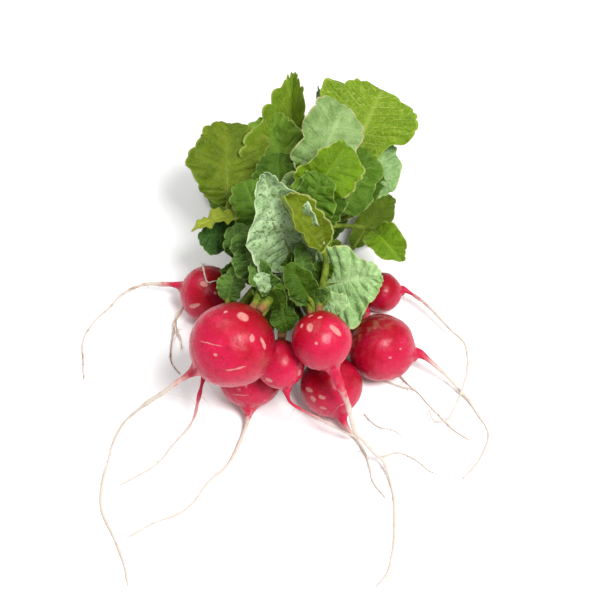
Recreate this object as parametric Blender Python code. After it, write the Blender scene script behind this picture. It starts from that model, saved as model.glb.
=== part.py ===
"""A bunch of ten small globe radishes, leaves on, lying on a surface.

Frame: metres, +Z up. The bunch lies on z = 0 with the middle of its box at x = y = 0. The roots run
toward -Y, the leaves toward +Y. The plan below is written in millimetres around the tie and is moved to
that frame at the end. Each radish is one solid from its crown to the end of its tail root, each leaf is
one solid from the foot of its stalk to its tip, and a thin band goes round the stalks.
"""

import math
from dataclasses import dataclass

import bmesh
import bpy
from mathutils import Matrix, Quaternion, Vector

MM = 0.001

# Driving dimensions, in millimetres.
RADISH_SIDES = 12
BULB_RINGS = 8
# The first and last rings of a bulb lie at these shares of the half turn from the crown to the root.
BULB_FIRST = 0.06
BULB_SPAN = 0.87
TAIL_RINGS = 13
TAIL_END_RADIUS = 0.45
# How fast a root thins: its radius falls by this many powers of e along its length.
TAIL_THINNING = 3.2
ROUTE_STEPS = 12
STALK_FOOT_RADIUS = 2.1
STALK_TOP_RADIUS = 1.3
STALK_GAP = 0.9
STALK_RING_RADIUS = 3.2
# Stations along a stalk on each side of the tie, and along a stalk that isn't tied.
HALF_STALK_STATIONS = 4
FREE_STALK_STATIONS = 7
BLADE_STATIONS = 8
BEND_STEPS = 24
BLADE_THICKNESS = 0.7
LEAST_HALF_WIDTH = 0.5
CUP_POWER = 1.6
SECTION_HALF_POINTS = 4
TIE_CENTRE = Vector((-2.0, 12.0, 34.0))
SLOT_PITCH_X = 5.6
SLOT_PITCH_Z = 5.3
TIE_HALF_LENGTH = 3.0
# A stalk of the top row starts to turn this many half lengths past the tie's middle, lower rows later.
TIE_LEAVING = 1.6
TOP_ROW = 2
BAND_THICKNESS = 1.4
BAND_WIDTH = 5.0
BAND_GAP = 0.5
BAND_SIDES = 28

# The way most leaf faces turn: up and toward the roots.
SHOW = Vector((0.0, -0.574, 0.819))
# The first side of every radish ring is turned toward this, which is along none of the crowns.
FIRST_SIDE = Vector((0.3, 0.2, 1.0))


@dataclass(frozen=True)
class RadishPlan:
    """One radish: bulb middle, bulb radius, root radius where it leaves the bulb, crown aim, tail route."""

    centre: tuple
    radius: float
    neck: float
    crown_aim: tuple
    tail: tuple


@dataclass(frozen=True)
class LeafPlan:
    """One leaf: its radish, its place in the tie (column, row) or None, then the blade.

    base and tip are the ends of the blade, width is its full width, roll turns its face about the line
    from base to tip, bow lifts the middle of that line along the face, and cup raises the two edges.
    """

    radish: str
    slot: tuple
    base: tuple
    tip: tuple
    width: float
    roll: float
    bow: float
    cup: float


RADISHES = {
    "A": RadishPlan((-44, 0, 15.5), 15.3, 2.0, (-15, 8, 31), (
        (-62, 8, 13), (-69, 10, 11), (-81, 11, 9), (-92, 6, 7), (-98, -1, 5), (-106, -9, 3),
        (-111, -20, 1.5), (-110, -32, 1), (-108, -45, 1))),
    "B": RadishPlan((-38.5, -46, 36), 11.0, 2.0, (-12, 8, 34), (
        (-43, -57, 25), (-46, -66, 17), (-48, -72, 11), (-52, -77, 6), (-59, -84, 2.5),
        (-64, -91, 1.2), (-71, -97, 1), (-84, -105, 1))),
    "C": RadishPlan((-26.8, -63.1, 63.6), 20.1, 2.6, (8, -8, 66), (
        (-49, -70, 47), (-55, -72, 43), (-61, -74, 38), (-68, -76, 33), (-74, -78, 28), (-80, -80, 22),
        (-84, -83, 17), (-88, -88, 10), (-90, -95, 5), (-92, -104, 2), (-92, -115, 1), (-89, -123, 1),
        (-84, -132, 1), (-78, -145, 1), (-75, -156, 1))),
    "D": RadishPlan((-19.9, -51.5, 16.2), 16.2, 1.6, (-6, 6, 28), (
        (-21, -69, 7), (-22, -73, 4.5), (-24, -78, 2.2), (-28, -88, 1.2), (-32, -95, 1), (-40, -103, 1),
        (-47, -114, 1), (-54, -120, 1), (-66, -125, 1), (-77, -132, 1))),
    "E": RadishPlan((-4.7, -59.3, 40.6), 12.0, 2.0, (-2, 8, 38), (
        (0, -73, 28), (7, -75, 22), (14, -76, 17), (20, -78, 13), (26, -79, 9), (33, -81, 6))),
    "F": RadishPlan((15.4, -57.2, 58), 14.2, 3.4, (6, 0, 54), (
        (25, -75, 42), (28, -78, 34), (30, -83, 27), (32, -87, 22), (37, -89, 15), (42, -92, 9),
        (46, -94, 6), (48, -98, 3.5), (50, -106, 1.5), (51, -115, 1), (50, -134, 1), (48, -143, 1),
        (46, -150, 1), (40, -157, 1))),
    "G": RadishPlan((20.7, -56.9, 15.7), 15.7, 2.4, (5, 6, 28), (
        (28, -74, 6), (32, -78, 2.4), (35, -82, 1.4), (38, -89, 1), (40, -97, 1), (41, -103, 1),
        (47, -112, 1))),
    "H": RadishPlan((46.8, -35.1, 17.6), 17.5, 2.6, (12, 8, 32), (
        (68, -38, 15), (76, -43, 11), (82, -47, 7), (88, -53, 3.5), (92, -57, 2), (96, -65, 1.2),
        (100, -73, 1), (100, -80, 1), (94, -92, 1), (85, -102, 1))),
    "I": RadishPlan((49.1, 4.6, 10.9), 10.9, 1.7, (14, 10, 28), (
        (62, 6, 11), (73, -2, 9), (86, -18, 7), (92, -27, 8), (92, -42, 9), (88, -55, 8), (84, -63, 5.5),
        (80, -70, 4), (73, -70, 3.6), (71, -63, 3.6))),
    "J": RadishPlan((34, -8.6, 8.8), 8.8, 1.3, (8, 10, 26), (
        (34, -20, 4), (36, -32, 1.4), (41, -42, 1.1), (51, -46, 1), (58, -49, 1), (65, -51, 1),
        (71, -59, 1), (78, -68, 1), (83, -74, 1), (91, -80, 1))),
}

LEAVES = {
    # Tall leaves on the left and in the middle, seen flat on.
    "left_broad": LeafPlan("B", (-1.5, 1), (-33, 32, 50), (-36, 77, 67), 36, 10, 3, 0.10),
    "left_behind": LeafPlan("B", (-2, 0), (-19, 40, 33), (-26, 85, 46), 18, 0, 2, 0.15),
    "centre_jade": LeafPlan("D", (-1, 0), (-3, 46, 46), (-8, 88, 63), 25, -10, 2, 0.25),
    "centre_tall": LeafPlan("D", (-0.5, -1), (1, 50, 32), (-1, 114, 68), 28, -15, 2, 0.25),
    "centre_edge": LeafPlan("G", (1, 0), (12, 36, 38), (14, 97, 75), 16, 80, 2, 0.15),
    # Leaves on the right.
    "right_fan": LeafPlan("H", (1, 1), (31, 50, 62), (50, 96, 72), 46, -10, 3, 0.10),
    "right_mint": LeafPlan("H", (2, 0), (43, 38, 50), (53, 70, 60), 20, 0, 2, 0.15),
    "right_pale": LeafPlan("E", (0, 0), (10, 33, 69), (28, 72, 85), 32, 10, 3, 0.10),
    "right_bright": LeafPlan("E", (0, 1), (9, 19, 73), (28, 39, 91), 27, 15, 3, 0.15),
    "right_dark": LeafPlan("H", (1.5, 2), (26, 23, 57), (42, 54, 69), 20, 10, 2, 0.15),
    "right_small": LeafPlan("H", (2, 1), (31, 32, 50), (47, 50, 57), 15, 0, 1, 0.15),
    "right_hanging": LeafPlan("I", (2.5, 2), (44, 20, 45), (57, 1, 42), 18, 0, 7, 0.15),
    "right_ovate": LeafPlan("J", None, (34, -4, 35), (38, -4, 51), 14, 0, 1, 0.15),
    # Leaves in front, bending up and over the stalks.
    "front_drooping": LeafPlan("F", None, (14, -23, 55), (45, -23, 66), 38, 10, 2, 0.10),
    "front_flap": LeafPlan("F", None, (15, -18, 80), (-5, -9, 104), 16, 30, 0, 0.15),
    "front_speckled": LeafPlan("C", None, (2, -14, 62), (-14, 4, 108), 33, 0, 4, 0.15),
    "front_middle": LeafPlan("F", (0.5, 2), (7, 11, 65), (17, 22, 87), 24, 0, 2, 0.15),
    "left_narrow": LeafPlan("B", (-1.5, 2), (-26, 15, 63), (-50, 4, 65), 13, 55, 2, 0.2),
    "left_teal": LeafPlan("A", (-2.5, 1), (-28, 20, 43), (-47, 8, 56), 20, 0, 2, 0.15),
    # Small young leaves at the crowns.
    "young_pointed": LeafPlan("A", None, (-24, -8, 44), (-35, -10, 52), 12, 0, 1, 0.2),
    "young_upright": LeafPlan("C", None, (-17, -16, 62), (-22, -7, 78), 17, 0, 1, 0.2),
    "young_low": LeafPlan("B", None, (-31, -26, 47), (-27, -16, 62), 15, 0, 1, 0.15),
    "young_hanging": LeafPlan("C", None, (-4, -33, 56), (-1, -44, 46), 13, 0, 1, 0.15),
    "young_curled": LeafPlan("F", None, (8, -24, 63), (3, -14, 77), 9, 20, 1, 0.3),
    # Leaves underneath, lying on the surface.
    "ground_left": LeafPlan("A", (-2.5, -1), (-26, 40, 12), (-45, 97, 8), 20, 0, 2, 0.1),
    "ground_left_middle": LeafPlan("D", (-1.5, -1), (-11, 45, 18), (-24, 110, 16), 22, 5, 2, 0.1),
    "ground_middle": LeafPlan("G", (0.5, -1), (5, 50, 20), (4, 118, 18), 22, 0, 2, 0.1),
    "ground_right_middle": LeafPlan("H", (1.5, -1), (21, 48, 19), (32, 108, 15), 20, 0, 2, 0.1),
    "ground_low_left": LeafPlan("D", (-1, -2), (-9, 42, 6), (-13, 98, 2), 20, 0, 1, 0.05),
    "ground_low_middle": LeafPlan("G", (0, -2), (7, 42, 6), (11, 104, 2), 18, 0, 1, 0.05),
    "ground_low_right": LeafPlan("J", (1, -2), (19, 40, 6), (32, 94, 2), 18, 0, 1, 0.05),
    "ground_right": LeafPlan("J", (2.5, -1), (35, 34, 13), (57, 78, 7), 16, 0, 1, 0.1),
}

RADISH_RED = (0.56, 0.010, 0.045, 1.0)
LEAF_GREEN = (0.13, 0.27, 0.045, 1.0)
BAND_TAN = (0.52, 0.33, 0.17, 1.0)


def make_material(name, colour, roughness):
    """Return a plain material with the piece's colour and roughness."""
    material = bpy.data.materials.new(name)
    material.use_nodes = True
    shader = material.node_tree.nodes["Principled BSDF"]
    shader.inputs["Base Color"].default_value = colour
    shader.inputs["Roughness"].default_value = roughness
    shader.inputs["Metallic"].default_value = 0.0
    return material


def smooth_path(points, count):
    """Return count points evenly spaced along a smooth curve through the given points."""
    points = [Vector(p) for p in points]
    ends = [points[0] * 2 - points[1]] + points + [points[-1] * 2 - points[-2]]
    fine = []
    for a, b, c, d in zip(ends, ends[1:], ends[2:], ends[3:]):
        for step in range(ROUTE_STEPS):
            t = step / ROUTE_STEPS
            fine.append(0.5 * (2 * b + (c - a) * t + (2 * a - 5 * b + 4 * c - d) * t ** 2
                               + (3 * b - a - 3 * c + d) * t ** 3))
    fine.append(points[-1])
    return resample(fine, [k / (count - 1) for k in range(count)])


def resample(points, places):
    """Return the points found at the given fractions of a polyline's length."""
    reach = [0.0]
    for a, b in zip(points, points[1:]):
        reach.append(reach[-1] + (b - a).length)
    result = []
    index = 0
    for place in places:
        target = place * reach[-1]
        while index < len(points) - 2 and reach[index + 1] < target:
            index += 1
        span = max(reach[index + 1] - reach[index], 1e-9)
        result.append(points[index].lerp(points[index + 1], min(1.0, (target - reach[index]) / span)))
    return result


def curve_between(start, start_direction, end, end_direction, count, reach_end):
    """Return count points along a smooth curve that leaves and arrives in the given directions.

    The last point is the end itself when reach_end is true, and one step before it otherwise.
    """
    reach = (end - start).length
    lead = start + start_direction * reach / 3
    trail = end - end_direction * reach / 3
    steps = count - 1 if reach_end else count
    points = []
    for step in range(count):
        t = step / steps
        points.append(start * (1 - t) ** 3 + lead * 3 * t * (1 - t) ** 2 + trail * 3 * t * t * (1 - t)
                      + end * t ** 3)
    return points


def tangents(path):
    """Return the unit direction of a path at each of its points."""
    result = []
    for index in range(len(path)):
        before = path[max(0, index - 1)]
        after = path[min(len(path) - 1, index + 1)]
        result.append((after - before).normalized())
    return result


def carried_sides(directions, start_index, side):
    """Carry a sideways vector along a path both ways from one station without twisting it."""
    sides = [None] * len(directions)
    sides[start_index] = (side - directions[start_index] * side.dot(directions[start_index])).normalized()
    for index in range(start_index + 1, len(directions)):
        turn = directions[index - 1].rotation_difference(directions[index])
        sides[index] = (turn @ sides[index - 1]).normalized()
    for index in range(start_index - 1, -1, -1):
        turn = directions[index + 1].rotation_difference(directions[index])
        sides[index] = (turn @ sides[index + 1]).normalized()
    return sides


def skin_rings(name, rings, material):
    """Make one closed solid from rings of points, capped at both ends, with its faces outward."""
    mesh = bpy.data.meshes.new(name)
    shape = bmesh.new()
    loops = [[shape.verts.new(point) for point in ring] for ring in rings]
    for lower, upper in zip(loops, loops[1:]):
        for index in range(len(lower)):
            following = (index + 1) % len(lower)
            shape.faces.new((lower[index], lower[following], upper[following], upper[index]))
    shape.faces.new(loops[0][::-1])
    shape.faces.new(loops[-1])
    bmesh.ops.triangulate(shape, faces=shape.faces[:])
    bmesh.ops.recalc_face_normals(shape, faces=shape.faces[:])
    if shape.calc_volume(signed=True) < 0:
        bmesh.ops.reverse_faces(shape, faces=shape.faces[:])
    shape.to_mesh(mesh)
    shape.free()
    mesh.materials.append(material)
    mesh.shade_smooth()
    item = bpy.data.objects.new(name, mesh)
    bpy.context.collection.objects.link(item)
    return item


def crown_direction(plan):
    """Return the unit vector from a radish's middle to its crown."""
    return (Vector(plan.crown_aim) - Vector(plan.centre)).normalized()


def build_radish(name, plan, material):
    """Make one radish: a round bulb drawn out into a long thin root.

    Every ring of the bulb lies on a ball, square to an axis that swings from the crown to the root. The
    root's radius falls from its neck to a thread.
    """
    centre = Vector(plan.centre)
    crown = crown_direction(plan)
    foot = (Vector(plan.tail[0]) - centre).normalized()
    angles = [math.pi * (BULB_FIRST + BULB_SPAN * k / (BULB_RINGS - 1)) for k in range(BULB_RINGS)]
    blend = crown.rotation_difference(-foot)
    axes = [Quaternion().slerp(blend, (1 - math.cos(angle)) / 2) @ crown for angle in angles]
    bulb = [centre + axis * plan.radius * math.cos(angle) for axis, angle in zip(axes, angles)]
    route = smooth_path([centre + foot * plan.radius] + [Vector(p) for p in plan.tail], TAIL_RINGS)
    path = bulb + route
    directions = [-axis for axis in axes] + tangents(route)
    sides = carried_sides(directions, 0, FIRST_SIDE)
    rings = []
    for index, point in enumerate(path):
        if index < BULB_RINGS:
            radius = plan.radius * math.sin(angles[index])
        else:
            reach = (index - BULB_RINGS) / (TAIL_RINGS - 1)
            radius = TAIL_END_RADIUS + (plan.neck - TAIL_END_RADIUS) * math.exp(-TAIL_THINNING * reach)
        across = sides[index].cross(directions[index])
        ring = []
        for side in range(RADISH_SIDES):
            angle = 2 * math.pi * side / RADISH_SIDES
            ring.append(point + (sides[index] * math.cos(angle) + across * math.sin(angle)) * radius)
        rings.append(ring)
    return skin_rings(f"radish_{name}", rings, material)


def slot_place(slot):
    """Return the middle of a stalk's place in the tie."""
    column, row = slot
    return TIE_CENTRE + Vector((column * SLOT_PITCH_X, 0, row * SLOT_PITCH_Z))


def stalk_feet():
    """Place each stalk's foot in a small ring on its radish's crown.

    A foot lies on the side of the ring that faces its stalk's place in the tie, so stalks don't cross.
    """
    feet = {}
    for radish, plan in RADISHES.items():
        crown = crown_direction(plan)
        top = Vector(plan.centre) + crown * (plan.radius + STALK_GAP)
        across = crown.cross(Vector((0, 0, 1))).normalized()
        up = across.cross(crown)
        names = [name for name, leaf in LEAVES.items() if leaf.radish == radish]
        aims = {}
        for name in names:
            leaf = LEAVES[name]
            aim = slot_place(leaf.slot) if leaf.slot else Vector(leaf.base)
            aims[name] = aim - top
        middle = sum(aims.values(), Vector()) / len(aims)
        bearings = {}
        for name, aim in aims.items():
            offset = aim - middle
            bearings[name] = math.atan2(offset.dot(up), offset.dot(across))
        ordered = sorted(names, key=lambda n: bearings[n])
        turns = [bearings[name] - 2 * math.pi * index / len(ordered) for index, name in enumerate(ordered)]
        start = math.atan2(sum(math.sin(turn) for turn in turns), sum(math.cos(turn) for turn in turns))
        ring = STALK_RING_RADIUS * max(1.0, len(ordered) / 4)
        for index, name in enumerate(ordered):
            even = start + 2 * math.pi * index / len(ordered)
            feet[name] = top + (across * math.cos(even) + up * math.sin(even)) * ring
    return feet


def build_leaf(name, plan, foot, material):
    """Make one leaf: a round stalk that flattens into a thin cupped blade."""
    base = Vector(plan.base)
    tip = Vector(plan.tip)
    chord = (tip - base).normalized()
    face = Quaternion(chord, math.radians(plan.roll)) @ (SHOW - chord * SHOW.dot(chord)).normalized()
    side = chord.cross(face).normalized()
    crown = crown_direction(RADISHES[plan.radish])
    middle = base.lerp(tip, 0.5) + face * plan.bow * 2
    places = [step / BEND_STEPS for step in range(BEND_STEPS + 1)]
    bend = [base.lerp(middle, place).lerp(middle.lerp(tip, place), place) for place in places]
    blade = resample(bend, [k / (BLADE_STATIONS - 1) for k in range(BLADE_STATIONS)])
    arrival = (middle - base).normalized()
    if plan.slot:
        run = Vector((0, TIE_HALF_LENGTH, 0))
        entry = slot_place(plan.slot) - run
        lower_rows = TOP_ROW - plan.slot[1]
        leaving = slot_place(plan.slot) + run * (TIE_LEAVING + lower_rows)
        ahead = Vector((0, 1, 0))
        stalk = curve_between(foot, crown, entry, ahead, HALF_STALK_STATIONS, True)
        stalk += curve_between(leaving, ahead, base, arrival, HALF_STALK_STATIONS, False)
    else:
        stalk = curve_between(foot, crown, base, arrival, FREE_STALK_STATIONS, False)
    path = stalk + blade
    directions = tangents(path)
    directions[0] = crown
    sides = carried_sides(directions, len(stalk) + BLADE_STATIONS // 2, side)
    rings = []
    for index, point in enumerate(path):
        place = (index - len(stalk)) / (BLADE_STATIONS - 1)
        normal = sides[index].cross(directions[index])
        section = leaf_section(place, index, len(stalk), plan)
        rings.append([point + sides[index] * x + normal * z for x, z in section])
    return skin_rings(f"leaf_{name}", rings, material)


def half_width(place, width):
    """Return a blade's half width at a fraction of its length: narrow foot, broad rounded end.

    The outline is a half wave that starts a little open, is broadest just before the middle and is
    squared off by a power below one.
    """
    turn = math.pi * min(1.0, 0.06 + 0.94 * place ** 0.85) * 0.98
    return max(LEAST_HALF_WIDTH, width / 2 * math.sin(turn) ** 0.7)


def leaf_section(place, index, stalk_count, plan):
    """Return the leaf's cross-section points as (sideways, up) pairs, top from left to right first."""
    thin = BLADE_THICKNESS / 2
    points = []
    if place < 0:
        share = index / stalk_count
        radius = STALK_FOOT_RADIUS + (STALK_TOP_RADIUS - STALK_FOOT_RADIUS) * share
        count = 2 * SECTION_HALF_POINTS
        for step in range(count):
            angle = math.pi - 2 * math.pi * (step + 0.5) / count
            points.append((radius * math.cos(angle), radius * math.sin(angle)))
        return points
    half = half_width(place, plan.width)
    for upper in (True, False):
        for step in range(SECTION_HALF_POINTS):
            across = -1 + 2 * step / (SECTION_HALF_POINTS - 1)
            lift = plan.cup * half * abs(across) ** CUP_POWER
            if upper:
                points.append((across * half, lift + thin))
            else:
                points.append((-across * half, lift - thin))
    return points


def build_band(material):
    """Make the band round the stalks: a flat loop that follows the outermost stalks."""
    places = [slot_place(leaf.slot) for leaf in LEAVES.values() if leaf.slot]
    reach = STALK_FOOT_RADIUS + BAND_GAP
    rings = []
    for index in range(BAND_SIDES):
        angle = 2 * math.pi * index / BAND_SIDES
        out = Vector((math.cos(angle), 0, math.sin(angle)))
        outermost = max(places, key=lambda place: (place - TIE_CENTRE).dot(out) + 0.01 * place.x)
        inner = outermost + out * reach
        outer = outermost + out * (reach + BAND_THICKNESS)
        half = Vector((0, BAND_WIDTH / 2, 0))
        rings.append([inner - half, outer - half, outer + half, inner + half])
    mesh = bpy.data.meshes.new("tie_band")
    shape = bmesh.new()
    loops = [[shape.verts.new(point) for point in ring] for ring in rings]
    for index in range(BAND_SIDES):
        here = loops[index]
        there = loops[(index + 1) % BAND_SIDES]
        for corner in range(4):
            following = (corner + 1) % 4
            shape.faces.new((here[corner], here[following], there[following], there[corner]))
    bmesh.ops.recalc_face_normals(shape, faces=shape.faces[:])
    shape.to_mesh(mesh)
    shape.free()
    mesh.materials.append(material)
    item = bpy.data.objects.new("tie_band", mesh)
    bpy.context.collection.objects.link(item)
    return item


def settle(pieces):
    """Bring every piece from the millimetre plan to the frame: metres, box middle at x = y = 0, z = 0."""
    corners = [vertex.co for piece in pieces for vertex in piece.data.vertices]
    low = Vector([min(point[axis] for point in corners) for axis in range(3)])
    high = Vector([max(point[axis] for point in corners) for axis in range(3)])
    origin = Vector(((low.x + high.x) / 2, (low.y + high.y) / 2, low.z))
    change = Matrix.Scale(MM, 4) @ Matrix.Translation(-origin)
    for piece in pieces:
        piece.data.transform(change)


def main():
    """Clear the scene and build the bunch."""
    for item in list(bpy.data.objects):
        bpy.data.objects.remove(item, do_unlink=True)
    skin = make_material("radish_skin", RADISH_RED, 0.35)
    green = make_material("leaf_green", LEAF_GREEN, 0.5)
    tan = make_material("band_tan", BAND_TAN, 0.6)
    pieces = [build_radish(name, plan, skin) for name, plan in RADISHES.items()]
    feet = stalk_feet()
    pieces += [build_leaf(name, plan, feet[name], green) for name, plan in LEAVES.items()]
    pieces.append(build_band(tan))
    settle(pieces)


main()
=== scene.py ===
"""Looks for a bunch of ten small red radishes with their leaves on, lying on a surface.

The plan below is in millimetres around the tie, as the solid model's own plan is, and is moved to the
frame's metres by the tie band's place there. Each radish is a smooth swept skin from its crown to the end
of its root. Each leaf is a thin closed shell with a scalloped, ruffled margin on a round stalk.
"""

import logging
import math
from dataclasses import dataclass
from enum import Enum

import bpy
import numpy as np
from mathutils import Matrix, Vector


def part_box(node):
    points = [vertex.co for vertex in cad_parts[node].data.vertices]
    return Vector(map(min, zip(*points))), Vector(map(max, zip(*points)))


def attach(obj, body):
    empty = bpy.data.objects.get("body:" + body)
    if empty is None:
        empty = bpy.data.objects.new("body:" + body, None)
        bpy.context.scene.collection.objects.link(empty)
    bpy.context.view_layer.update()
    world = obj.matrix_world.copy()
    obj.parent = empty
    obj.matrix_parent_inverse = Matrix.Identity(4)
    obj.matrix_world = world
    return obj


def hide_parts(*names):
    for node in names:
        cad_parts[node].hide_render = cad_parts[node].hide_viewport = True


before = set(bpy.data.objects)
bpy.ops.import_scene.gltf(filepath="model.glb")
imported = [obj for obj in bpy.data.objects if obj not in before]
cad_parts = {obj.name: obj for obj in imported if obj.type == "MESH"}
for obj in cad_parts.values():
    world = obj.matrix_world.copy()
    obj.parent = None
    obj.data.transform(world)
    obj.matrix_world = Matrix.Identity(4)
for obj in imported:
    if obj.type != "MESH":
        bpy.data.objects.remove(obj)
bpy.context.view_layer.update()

MM = 0.001
UP = np.array([0.0, 0.0, 1.0])
AHEAD = np.array([0.0, 1.0, 0.0])
# The way most leaf faces turn: up and toward the roots.
SHOW = np.array([0.0, -0.574, 0.819])
# Steps in each span of a smooth curve.
ROUTE_STEPS = 12
# The least height above the surface.
GROUND = 0.2
# How far the outline of a pale mark wavers, as a share of the bulb's radius.
MARK_WAVER = 0.06
# Where along a root the side hairs take their colour from.
HAIR_TINT = 0.6
# How many places along a root a hair can grow from.
HAIR_PLACES = 200
# How many stations the lines of blades and stalks have.
BLADE_STATIONS = 80
LEAFLET_STATIONS = 30
FREE_STALK_STATIONS = 40
HALF_STALK_STATIONS = 24
TIED_STALK_STATIONS = 60
# How far past the tie's middle the top row bends away, as a share of the tie's half length.
TIE_LEAVING = 1.6

# The tie, with its stalks laid out in columns and rows.
TIE_CENTRE = np.array([-2.0, 12.0, 34.0])
SLOT_PITCH_X = 5.6
SLOT_PITCH_Z = 5.3
TIE_HALF_LENGTH = 3.0
TOP_ROW = 2
STALK_FOOT_RADIUS = 2.1
STALK_TOP_RADIUS = 1.3
STALK_GAP = 0.9
STALK_RING_RADIUS = 3.2

Array = np.ndarray
Colour = tuple[float, float, float]
Point = tuple[float, float, float]


def to_frame(points: Array) -> Array:
    """Move plan millimetres to frame metres.

    Args:
        points: places in the plan, in millimetres.

    Returns:
        The same places in metres, shifted so that the tie's middle is the tie band's middle.
    """
    low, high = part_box("tie_band")
    middle = np.array((low + high) / 2)
    return (points - TIE_CENTRE) * MM + middle


def unit(vectors: Array) -> Array:
    """Return the vectors at length one."""
    return vectors / np.maximum(np.linalg.norm(vectors, axis=-1, keepdims=True), 1e-9)


def smoothstep(low: float, high: float, values: Array) -> Array:
    """Return 0 below low, 1 above high and a smooth rise between: t squared times (3 - 2t)."""
    t = np.clip((values - low) / (high - low), 0.0, 1.0)
    return t * t * (3 - 2 * t)


def turned(vector: Array, axis: Array, degrees: float) -> Array:
    """Turn a vector about an axis: its part across the axis goes round, its part along stays."""
    angle = math.radians(degrees)
    along = axis * (vector @ axis)
    return (vector - along) * math.cos(angle) + np.cross(axis, vector) * math.sin(angle) + along


def around_turn(count: int) -> Array:
    """Return evenly spread angles round a full turn."""
    return 2 * math.pi * np.arange(count) / count


def bowed(start: Array, middle: Array, end: Array, stations: int) -> Array:
    """Return a line that bows toward the middle place: start (1 - t)^2 + 2 middle t (1 - t) + end t^2."""
    t = np.linspace(0, 1, stations)[:, None]
    return start * (1 - t) ** 2 + middle * 2 * t * (1 - t) + end * t**2


def resample(points: Array, places: Array) -> Array:
    """Return the points at the given fractions of a polyline's length."""
    reach = np.concatenate([[0.0], np.cumsum(np.linalg.norm(np.diff(points, axis=0), axis=1))])
    wanted = places * reach[-1]
    return np.stack([np.interp(wanted, reach, points[:, axis]) for axis in range(3)], axis=1)


def smooth_route(points: Array, count: int) -> Array:
    """Return evenly spaced points on a curve through the given points.

    Each span is the cubic whose slope at an end is half the step between that end's two neighbours.
    """
    points = np.asarray(points, float)
    ends = np.vstack([2 * points[0] - points[1], points, 2 * points[-1] - points[-2]])
    t = (np.arange(ROUTE_STEPS) / ROUTE_STEPS)[None, :, None]
    a, b, c, d = ends[:-3, None], ends[1:-2, None], ends[2:-1, None], ends[3:, None]
    fine = 0.5 * (2 * b + (c - a) * t + (2 * a - 5 * b + 4 * c - d) * t**2 + (3 * b - a - 3 * c + d) * t**3)
    return resample(np.vstack([fine.reshape(-1, 3), points[-1]]), np.linspace(0, 1, count))


def curve_between(start: Array, leaving: Array, end: Array, arriving: Array, count: int) -> Array:
    """Return points on the cubic that leaves start and reaches end in the given directions."""
    reach = np.linalg.norm(end - start)
    lead = start + leaving * reach / 3
    trail = end - arriving * reach / 3
    t = np.linspace(0, 1, count)[:, None]
    return start * (1 - t) ** 3 + lead * 3 * t * (1 - t) ** 2 + trail * 3 * t * t * (1 - t) + end * t**3


def carried_sides(ways: Array, start: int, side: Array) -> Array:
    """Carry a sideways vector along a path both ways from one station without twisting it.

    Args:
        ways: the path's unit direction at each station.
        start: the station that the vector is given at.
        side: the sideways vector there.

    Returns:
        One unit vector for each station, square to the path.
    """
    sides = np.zeros_like(ways)
    sides[start] = unit(side - ways[start] * (side @ ways[start]))
    for here in range(start + 1, len(ways)):
        sides[here] = unit(sides[here - 1] - ways[here] * (sides[here - 1] @ ways[here]))
    for here in range(start - 1, -1, -1):
        sides[here] = unit(sides[here + 1] - ways[here] * (sides[here + 1] @ ways[here]))
    return sides


def lumps(places: Array, size: float, seed: int, waves: int = 7) -> Array:
    """Return gentle random lumps: sine waves in random directions, summed, over the root of their number."""
    chance = np.random.default_rng(seed)
    total = np.zeros(places.shape[:-1])
    for _ in range(waves):
        way = unit(chance.normal(size=3)) * (2 * math.pi / size) * chance.uniform(0.6, 1.5)
        total += np.sin(places @ way + chance.uniform(0, 2 * math.pi))
    return total / math.sqrt(waves)


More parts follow.
